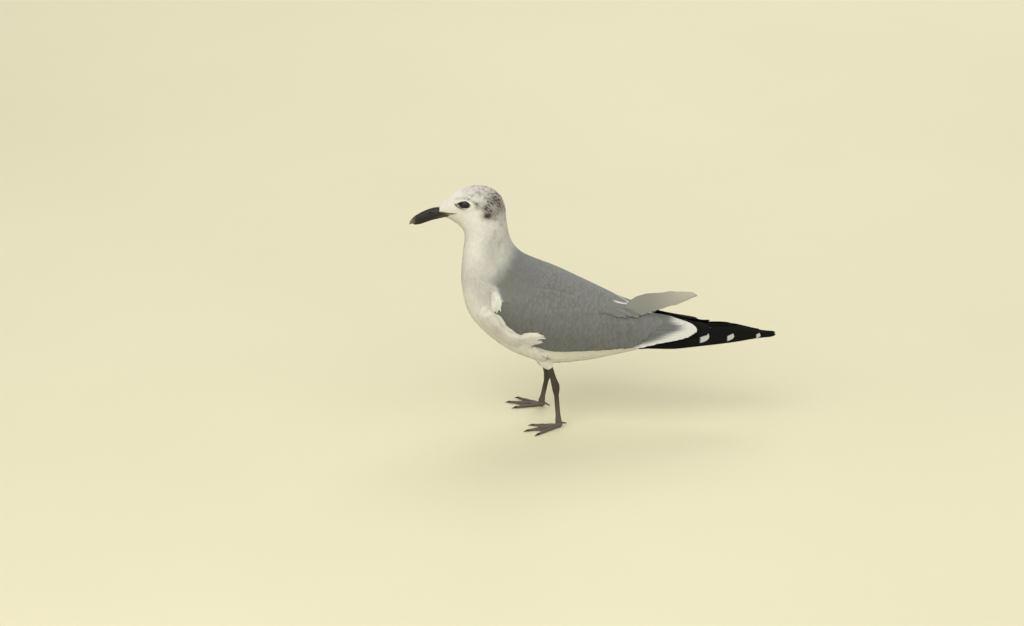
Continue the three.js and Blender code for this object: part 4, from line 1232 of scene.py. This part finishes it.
def primary_vane(i, tip_x, first_lead, white, white_height, deepest):
    outer = i < OUTER_PRIMARIES

    def lead(x):
        return first_lead - PRIMARY["drop"] * smoothstep(x, PRIMARY["drop_from"], PRIMARY["drop_to"])

    def trail(x):
        return np.minimum(first_lead + PRIMARY["width"] / wing_chord(x), 0.98)

    def depth(x, t):
        reach = np.maximum(4 - np.maximum(x - 100, 0) / 36, 1.1)
        base = PRIMARY["under"] + (PRIMARY["bare"] - PRIMARY["under"]) * smoothstep(x, 100, 160)
        stacked = reach * (1 - np.exp(-(t + 0.02) / (PRIMARY["step"] * reach))) - i
        return np.minimum(np.maximum(base + PRIMARY["pitch"] * stacked, 0.1), deepest + under_coverts(x))

    return wing_vane(
        PRIMARY["from"], tip_x, first_lead + (0.3 if i == 0 else 0.16), lead, trail, 0.93 if outer else 0.8,
        2.6 if outer else 2.2, depth, PRIMARY["thickness"], white, white_height, 0.12)


def raised_tertial():
    """The ruffled tertial of the left wing: a vane on edge beside the back."""
    start, end = np.array(RAISED_TERTIAL["root"], float), np.array(RAISED_TERTIAL["tip"], float)
    shaft = end - start
    length = np.linalg.norm(shaft)
    across = unit(np.array([0, 0.35, 0.94]))
    out = unit(np.cross(shaft, across))
    share, k = VANE_STEPS, VANE_COLUMNS - 0.5
    low, high = (at(RAISED_EDGES, share, column) for column in (1, 2))
    wave = 0.35 * np.sin(23 * share) + 0.25 * np.sin(41 * share + 1)
    offset = low + (high - low) * VANE_COLUMNS + wave * (2 * np.abs(k)) ** 4
    height = RAISED_TERTIAL["bend"] * np.sin(np.pi * share) - RAISED_TERTIAL["camber"] * k * k + 0.12 * RIDGE
    centre = start + share[..., None] * shaft + offset[..., None] * across
    upper, lower = (centre + (height + half)[..., None] * out for half in (0.12, -0.12))
    return dict(upper=upper, lower=lower, across=(VANE_COLUMNS - SHAFT) * (high - low), along=share * length,
                from_tip=(1 - share) * length, past_white=-NO_LIMIT,
                white=RAISED_TERTIAL["pale"], white_soft=0.9)


def tail_vanes():
    """Twelve tail feathers, from the middle pair outwards and down."""
    vanes = []
    for place in range(2 * TAIL["pairs"]):
        n, side = place // 2, 1 - 2 * (place % 2)
        layer = n + 1 if n else place
        inner, outer = (-0.3 * TAIL["half_width"] if n == 0 else 0.4), TAIL["half_width"] + TAIL["wider"] * n
        tip_x = TAIL["tip"] - TAIL["shorter"] * n
        x = TAIL["from"] + VANE_STEPS * (tip_x - TAIL["from"])
        opened = tip_shape(0.93, 2.4)
        middle = (inner + outer) / 2
        y = middle + (inner + (outer - inner) * VANE_COLUMNS - middle) * opened
        z = TAIL["root_z"] + (TAIL["tip_z"] - TAIL["root_z"]) * VANE_STEPS
        z = z - layer * TAIL["pitch"] - TAIL["roof"] * y * y + 0.2 * RIDGE
        upper = np.stack([np.broadcast_to(x, y.shape), side * y, z], -1)
        across = (VANE_COLUMNS - SHAFT) * (outer - inner) * opened
        vanes.append(dict(upper=upper, lower=upper - 0.3 * UP, across=across, along=x - TAIL["from"],
                          from_tip=tip_x - x, past_white=-NO_LIMIT, white=0.01, white_soft=0.1))
    return vanes


def vane_piece(name, vanes, material, side=1):
    """One piece from closed vanes, mirrored to its side of the bird."""
    grid = vanes[0]["upper"].shape[:2]
    template = vane_faces(*grid)
    keys = ("across", "along", "from_tip", "past_white", "white", "white_soft", "tone")
    parts, values = [], {key: [] for key in keys}
    for vane in vanes:
        points = np.concatenate([vane["upper"].reshape(-1, 3), vane["lower"][:, 1:-1].reshape(-1, 3)])
        parts.append((points * [1, side, 1], template))
        vane["tone"] = rng.random()
        for key, found in values.items():
            per_point = np.broadcast_to(vane[key], grid)
            found.append(np.concatenate([per_point.ravel(), per_point[:, 1:-1].ravel()]))
    values = {key: np.concatenate(found) for key, found in values.items()}
    piece = new_object(name, *joined(parts), material, np.tile(vane_rim(*grid), len(vanes)))
    set_map(piece, "vane", np.stack([values.pop("across"), values.pop("along")], -1))
    values["tip_length"] = values.pop("white")
    for key, value in values.items():
        set_attribute(piece, key, value)
    return piece


# ---------------------------------------------------------------- bill, eyes and lids

# Bill: [x, culmen z, mouth z, lower edge z, half width]
BILL_STATIONS = [
    [-158, 255.2, 254.2, 253.2, 13.2],
    [-166, 256.2, 252.8, 249.2, 10.4],
    [-172, 257.8, 251.6, 246.8, 8.0],
    [-177.5, 258.6, 250.2, 245.0, 5.9],
    [-184, 257.4, 248.2, 243.2, 5.0],
    [-191, 254.8, 245.6, 240.6, 4.3],
    [-197, 251.8, 243.0, 238.4, 3.7],
    [-202.5, 248.4, 240.6, 237.6, 3.0],
]
# The hooked tip of the upper half and the blunter tip of the lower half
BILL_TIP = {
    1: [
        [-205.4, 246, 239.6, 0, 2.5], [-207.4, 243.6, 238.9, 0, 2.0], [-208.7, 241.4, 238.3, 0, 1.5],
        [-209.3, 239.6, 237.9, 0, 0.9], [-209.4, 238.5, 237.8, 0, 0.3],
    ],
    -1: [[-204.3, 0, 239.9, 237.9, 2.2], [-205.2, 0, 239.4, 238.3, 1.4], [-205.6, 0, 239.1, 238.8, 0.5]],
}
MOUTH_GAP = 0.12  # from the mouth's line to each half
NOSTRIL = {"centre": [-184, 4.7, 252.8], "half_length": 3.2, "half_height": 0.85, "depth": 1.3, "tilt": 0.3}


def mandible(name, up, material):
    """The upper (up = 1) or lower (-1) half of the bill, with its horn edge and nostrils."""
    stations = BILL_STATIONS + BILL_TIP[up]
    rows = along(stations, np.linspace(0, len(stations) - 1, 150))
    x, culmen, mouth, lower, half_width = (column[:, None] for column in rows.T)
    angle = np.linspace(0, np.pi, 81)
    flat = mouth + up * MOUTH_GAP
    y = half_width * np.cos(angle)
    z = flat + ((culmen if up > 0 else lower) - flat) * np.sin(angle) ** 0.8
    if up > 0:
        centre_x, _, centre_z = NOSTRIL["centre"]
        c, s = math.cos(NOSTRIL["tilt"]), math.sin(NOSTRIL["tilt"])
        run = ((x - centre_x) * c - (z - centre_z) * s) / NOSTRIL["half_length"]
        rise = ((x - centre_x) * s + (z - centre_z) * c) / NOSTRIL["half_height"]
        reach = np.sqrt(run ** 2 + rise ** 2)
        sink = NOSTRIL["depth"] * smoothstep(reach, 1.15, 0.6) - 0.18 * np.exp(-((reach - 1.5) / 0.5) ** 2)
        y = y - np.sign(y) * sink
    piece = new_object(name, *tube(np.stack([np.broadcast_to(x, y.shape), y, z], -1)), material)
    return piece


def eyeball(name, side, material):
    """A glossy eyeball: cornea, iris and pupil by their distance from the line of sight."""
    sight, centre = line_of_sight(side), EYE["centre"] * [1, side, 1]
    polar = np.linspace(0, np.pi, 40)[1:-1, None, None]
    across = unit(np.cross(sight, UP))
    bulge = EYE["radius"] + 0.35 * np.exp(-(polar / 0.45) ** 2)
    half = bulge * np.sin(polar)
    centres = centre + bulge * np.cos(polar) * sight
    points, faces = swept(centres, across, np.cross(sight, across), half, half, 48)
    piece = new_object(f"eyeball_{name}", points, faces, material)
    set_attribute(piece, "from_sight", np.arccos(np.clip(unit(points - centre) @ sight, -1, 1)))
    return piece


def lid_ring(name, side, material):
    """The bare rims of both lids, with fine folds, and the skin of the lids over the eyeball behind them."""
    turn, section = turns(96)[:, None], turns(16)
    folds = 1 + 0.1 * np.sin(26 * turn + 2 * np.sin(5 * turn))
    outer = np.maximum(np.cos(section), 0)
    out = (LID["rim"] * folds + (LID["skin"] - LID["rim"]) * (outer > 0)) * np.cos(section)
    over = LID["rim"] * folds * np.sin(section) * (1 - 0.6 * outer)
    x = (LID["opening"][0] + 0.2 + np.minimum(out, LID["rim"])) * np.cos(turn)
    z = (LID["opening"][1] + 0.2 + out) * np.sin(turn) * np.abs(np.sin(turn)) ** (LID["corner"] - 1)
    flat = np.stack([x, 0 * x, z], -1).reshape(-1, 3) @ lid_turn(side).T + LID["centre"] * [1, side, 1]
    sight = line_of_sight(side)
    offset = flat - EYE["centre"] * [1, side, 1]
    ahead = offset @ sight
    beside = np.sum(offset * offset, 1) - ahead ** 2
    on_eyeball = np.sqrt(np.maximum((EYE["radius"] + 0.1) ** 2 - beside, 0))
    raised = np.maximum(on_eyeball, ahead + 0.1) - ahead + over.ravel()
    quads = grid_faces(len(turn), len(section), True, True)[:, [0, 3, 2, 1]]
    piece = new_object(f"lids_{name}", flat + raised[:, None] * sight, quads, material)
    return piece


# ---------------------------------------------------------------- legs and feet

# Half widths of the leg from knee to heel and from heel to ankle: [place along, fore-aft, sideways]
TIBIA = [[-0.18, 3.4, 2.6], [0.5, 3.4, 2.6], [0.88, 4.3, 3.4], [1.02, 4.3, 3.4]]
TARSUS = [[-0.05, 4.3, 3.4], [0.08, 4.3, 3.4], [0.25, 2.7, 2.0], [0.75, 2.7, 2.0], [0.96, 3.8, 3.2]]
HEEL = [4.3, 3.4, 4.6]
SOLE = {"centre": [0, 0, 3.6], "radii": [4.4, 3.8, 3.6]}
TOES = {"inner": [30, -27, 2.3], "middle": [38, 0, 2.5], "outer": [34, 25, 2.3]}  # length, angle, half width
CLAW = {"length": 6.5, "radius": 1.3, "tip": 0.12}
# Hind toe: where it starts and ends, and its half widths like the leg's
HIND_TOE = {
    "from": [1.5, 0, 5.8], "to": [8.1, -2, 3.4],
    "sections": [[0, 1.5, 1.5], [0.6, 1.2, 1.2], [1, 0.9, 0.9]],
}
WEB = {"thickness": 0.9, "reach": 0.9, "notch": 0.68}
SCUTE = {"shank": 2.7, "toe": 1.9, "height": 0.3}


def limb(a, b, sections):
    """A tube between two joints with elliptical sections."""
    a, b = np.array(a, float), np.array(b, float)
    axis = b - a
    fore = unit(np.cross([0, 1, 0], axis))
    places = np.linspace(sections[0][0], sections[-1][0], 40)[:, None, None]
    half = [at(sections, places, column) for column in (1, 2)]
    return swept(a + places * axis, fore, unit(np.cross(axis, fore)), *half, 24)


def toe_ways(angle, side):
    """The directions along a toe and across it."""
    turn = math.radians(angle)
    way = np.array([-math.cos(turn), side * math.sin(turn), 0])
    return way, np.array([-way[1], way[0], 0])


def toe_body(length, angle, half_width, side):
    """A toe that lies on the floor, with a pad under each joint."""
    way, across = toe_ways(angle, side)
    share = np.linspace(0, 1, 40)[:, None, None]
    taper = (1 - 0.45 * share) * np.minimum(1, np.sqrt(np.maximum((1.03 - share) / 0.08, 0.02)))
    pad = 1 + 0.12 * np.cos(share * 3 * 2 * np.pi)
    height = half_width * taper * (0.75 + 0.25 * pad)
    return swept(share * length * way + height * UP, across, UP, half_width * taper * pad, height, 20)


def web_body(a, b, side):
    """The web between two toes: a thin sheet with a hollowed front edge that sags between them."""
    share = np.linspace(0, 1, 20)[:, None]
    out = np.linspace(0.04, 1, 24)
    turn = np.radians(a[1] + (b[1] - a[1]) * share)
    hollow = WEB["notch"] + (WEB["reach"] - WEB["notch"]) * (2 * share - 1) ** 2
    reach = (a[0] + (b[0] - a[0]) * share) * hollow
    x, y = -np.cos(turn) * reach * out, side * np.sin(turn) * reach * out
    ripple = 0.25 * np.sin(share * 9 * np.pi) * out
    top = WEB["thickness"] * 1.5 + ripple - 0.5 * np.sin(np.pi * share) * out
    upper = np.stack([x, y, top], -1)
    return tube(np.concatenate([upper, (upper - WEB["thickness"] * UP)[:, ::-1]], axis=1))


def foot_turn(name, side):
    return rotation("Z", -side * math.radians(LEGS[name]["yaw"]))


def foot_place(points, name, side):
    """From the foot's own frame, toes towards -X, to its place under the leg."""
    x, y, _ = LEGS[name]["ankle"]
    return np.asarray(points) @ foot_turn(name, side).T + [x, side * y, 0]


def scutes(points, name, side):
    """How far the plates of the shank and toes raise the skin at each point."""
    raised = np.zeros(len(points))
    joints = joints_of(name, side, "knee", "heel", "ankle")
    for a, b in zip(joints, joints[1:]):
        axis = unit(b - a)
        offset = points - a
        place = offset @ axis
        within = (place > 0) & (place < np.linalg.norm(b - a)) & (points[:, 2] > 7)
        front = smoothstep(-(offset - place[:, None] * axis)[:, 0], -0.6, 0.8)
        saw = 1 - (place / SCUTE["shank"]) % 1
        raised = np.where(within, SCUTE["height"] * saw * (0.35 + 0.65 * front), raised)
    local = (points - foot_place([[0, 0, 0]], name, side)) @ foot_turn(name, side)
    for length, angle, half_width in TOES.values():
        way, across = toe_ways(angle, side)
        place = local @ way
        beside = np.abs(local @ across)
        on_top = smoothstep(local[:, 2], 1.6, 2.6) * smoothstep(beside, half_width, 0.5 * half_width)
        saw = 1 - (place / SCUTE["toe"]) % 1
        within = (place > 3) & (place < length) & (points[:, 2] < 7)
        raised = np.maximum(raised, within * SCUTE["height"] * 0.8 * saw * on_top)
    return raised


def above_floor(points):
    return np.maximum(points, [-np.inf, -np.inf, 0])


def make_leg(name, side, material):
    """Shank, heel joint, tarsus and webbed foot in one skin."""
    knee, heel, ankle = joints_of(name, side, "knee", "heel", "ankle")
    parts = [limb(knee, heel, TIBIA), limb(heel, ankle, TARSUS), ellipsoid(heel, HEEL)]
    foot = [ellipsoid(SOLE["centre"], SOLE["radii"])]
    foot += [toe_body(*toe, side) for toe in TOES.values()]
    for one, other in (("inner", "middle"), ("middle", "outer")):
        foot.append(web_body(TOES[one], TOES[other], side))
    foot.append(limb(HIND_TOE["from"], HIND_TOE["to"] * np.array([1, side, 1]), HIND_TOE["sections"]))
    parts += [(foot_place(points, name, side), faces) for points, faces in foot]
    leg = fused(f"leg_{name}", parts, 0.5, 3, material)
    points, normals = shape_of(leg)
    move_points(leg, above_floor(points + normals * scutes(points, name, side)[:, None]))
    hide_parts(*(f"{part}_{name}" for part in ("tibia", "tarsus", "foot")))
    return leg


def make_claws(name, side, material):
    claws = []
    share = np.linspace(0, 1, 14)[:, None, None]
    for length, angle, _ in TOES.values():
        way, across = toe_ways(angle, side)
        radius = CLAW["radius"] * (1 - share) ** 0.8 + CLAW["tip"]
        rise = 1.2 + 1.3 * np.sin(np.pi * share * 0.8) * (1 - share)
        centre = (length * 0.96 + CLAW["length"] * share) * way + (rise * (1 - 0.75 * share) + 0.15) * UP
        claws.append(swept(centre, across, UP, 0.8 * radius, radius, 16))
    centre = HIND_TOE["to"] * np.array([1, side, 1]) + share * [2.4, side * -0.3, -2.0]
    centre = centre + np.sin(np.pi * share) * [0.3, 0, 0.5]
    radius = 0.85 * (1 - share) + CLAW["tip"]
    claws.append(swept(centre, [0, 1, 0], [0.6, 0, 0.8], radius, radius, 16))
    points, faces = joined(claws)
    piece = new_object(f"claws_{name}", above_floor(foot_place(points, name, side)), faces, material)
    return piece


# ---------------------------------------------------------------- camera, floor and light

# Lamps in metres: [place, size, watts, tint]
LAMPS = {
    "key": [(-1.2, -1.6, 2.4), 2.2, 44, (1.0, 0.98, 0.94)],
    "fill": [(1.6, -1.4, 1.6), 2.5, 18, (1.0, 0.99, 0.97)],
    "back": [(0.4, 2.2, 2.2), 2.0, 36, (0.96, 0.98, 1.0)],
    "bounce": [(-0.6, -3.0, 0.7), 2.4, 26, (1.0, 0.95, 0.86)],
}
LIT_POINT = Vector((0, 0, 0.12))
FLOOR_HALF = 9000


def towards(direction):
    """The turn that makes a camera or a lamp look against a direction."""
    return direction.to_track_quat("Z", "Y").to_euler()


def make_camera():
    data = bpy.data.cameras.new("camera")
    camera = bpy.data.objects.new("camera", data)
    bpy.context.scene.collection.objects.link(camera)
    elevation = math.radians(CAMERA["elevation"])
    away = Vector((0, -math.cos(elevation), math.sin(elevation)))
    camera.location = Vector(CAMERA["target"]) * MM + away * CAMERA["distance"] * MM
    camera.rotation_euler = towards(away)
    data.sensor_width = 36
    data.lens = data.sensor_width * CAMERA["distance"] / CAMERA["view_width"]
    data.clip_end = 100
    bpy.context.scene.camera = camera


def make_floor():
    shader = Shader("floor", Roughness=0.9)
    place = shader.place()
    base = shader.mix(shader.noise(place, 1.5, 4.0), colour(204, 198, 167), colour(213, 208, 178))
    material = shader.finish(Base_Color=base, Normal=shader.bump(shader.noise(place, 260.0), 0.0004, 0.3))
    corners = [[-1, -1, 0], [1, -1, 0], [1, 1, 0], [-1, 1, 0]]
    floor = new_object("floor", np.array(corners) * FLOOR_HALF, [[0, 1, 2, 3]], material)


def make_lights():
    world = bpy.data.worlds.new("studio")
    world.use_nodes = True
    background = world.node_tree.nodes["Background"].inputs
    background["Color"].default_value = (1.0, 0.985, 0.95, 1.0)
    background["Strength"].default_value = 0.62
    bpy.context.scene.world = world
    for name, (place, size, watts, tint) in LAMPS.items():
        data = bpy.data.lights.new(name, "AREA")
        data.size = size
        data.energy = watts
        data.color = tint
        lamp = bpy.data.objects.new(name, data)
        lamp.location = place
        lamp.rotation_euler = towards(Vector(place) - LIT_POINT)
        bpy.context.scene.collection.objects.link(lamp)
    bpy.context.scene.view_settings.view_transform = "Standard"


# ---------------------------------------------------------------- the bird

def make_skin(material):
    """One seamless skin through body, wings and thighs."""
    skin = fused("skin", shells(WING_SKIN), 1.6, 6, material)
    points, _ = shape_of(skin)
    set_attribute(skin, "grey", grey_mark_and_shade(points))
    set_attribute(skin, "dusk", dusk_mark(points))
    set_attribute(skin, "tone", np.full(len(points), 0.5))
    set_map(skin, "vane", points[:, :2])
    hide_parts("torso", "neck", "head", "thigh_left", "thigh_right")
    return skin


make_camera()
make_floor()
make_lights()

plumage = plumage_material()
shown = [make_skin(plumage)]
bed = make_bed()
shown += body_coat(bed, make_head_bed(), plumage)

grey_vanes = flight_material("grey_flight_feathers", GREY, 0.75, BORDER_WHITE)
black_vanes = flight_material("black_flight_feathers", BLACK, 0.75, SPOT_GREY, 0.06)
brown_vanes = flight_material("worn_tertial", WORN_BROWN, 0.8, WORN_TIP)
white_vanes = flight_material("tail_feathers", WHITE, 0.8)
horn = horn_material()
scaled_skin = leg_material()
lid_skin = lid_material()
cornea = eye_material()

for name, side in SIDES.items():
    coat = wing_coat(name, side, bed, plumage)
    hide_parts(f"wing_{name}_arm")
    fan = [secondary_vane(place / 2) for place in range(2 * len(SECONDARIES) - 1)]
    secondaries = vane_piece(f"secondaries_{name}", fan, grey_vanes, side)
    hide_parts(f"wing_{name}_secondaries")
    fan = [primary_vane(i, *row) for i, row in enumerate(PRIMARIES)]
    primaries = vane_piece(f"primaries_{name}", fan, black_vanes, side)
    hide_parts(f"wing_{name}_primaries")
    eye = eyeball(name, side, cornea)
    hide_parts(f"eye_{name}")
    shown += [coat, secondaries, primaries, eye, lid_ring(name, side, lid_skin)]
    shown += [scapulars(name, side, bed, plumage), flank_coat(name, side, bed, plumage)]
    shown += [make_leg(name, side, scaled_skin), make_claws(name, side, horn)]

shown.append(worn_tertials(bed, plumage))
shown.append(vane_piece("raised_tertial", [raised_tertial()], brown_vanes))
tail = vane_piece("tail_feathers", tail_vanes(), white_vanes)
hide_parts("tail")
shown.append(tail)
for name, up in (("upper", 1), ("lower", -1)):
    half = mandible(f"mandible_{name}", up, horn)
    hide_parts(f"bill_{name}")
    shown.append(half)

for piece in shown:
    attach(piece, "root")
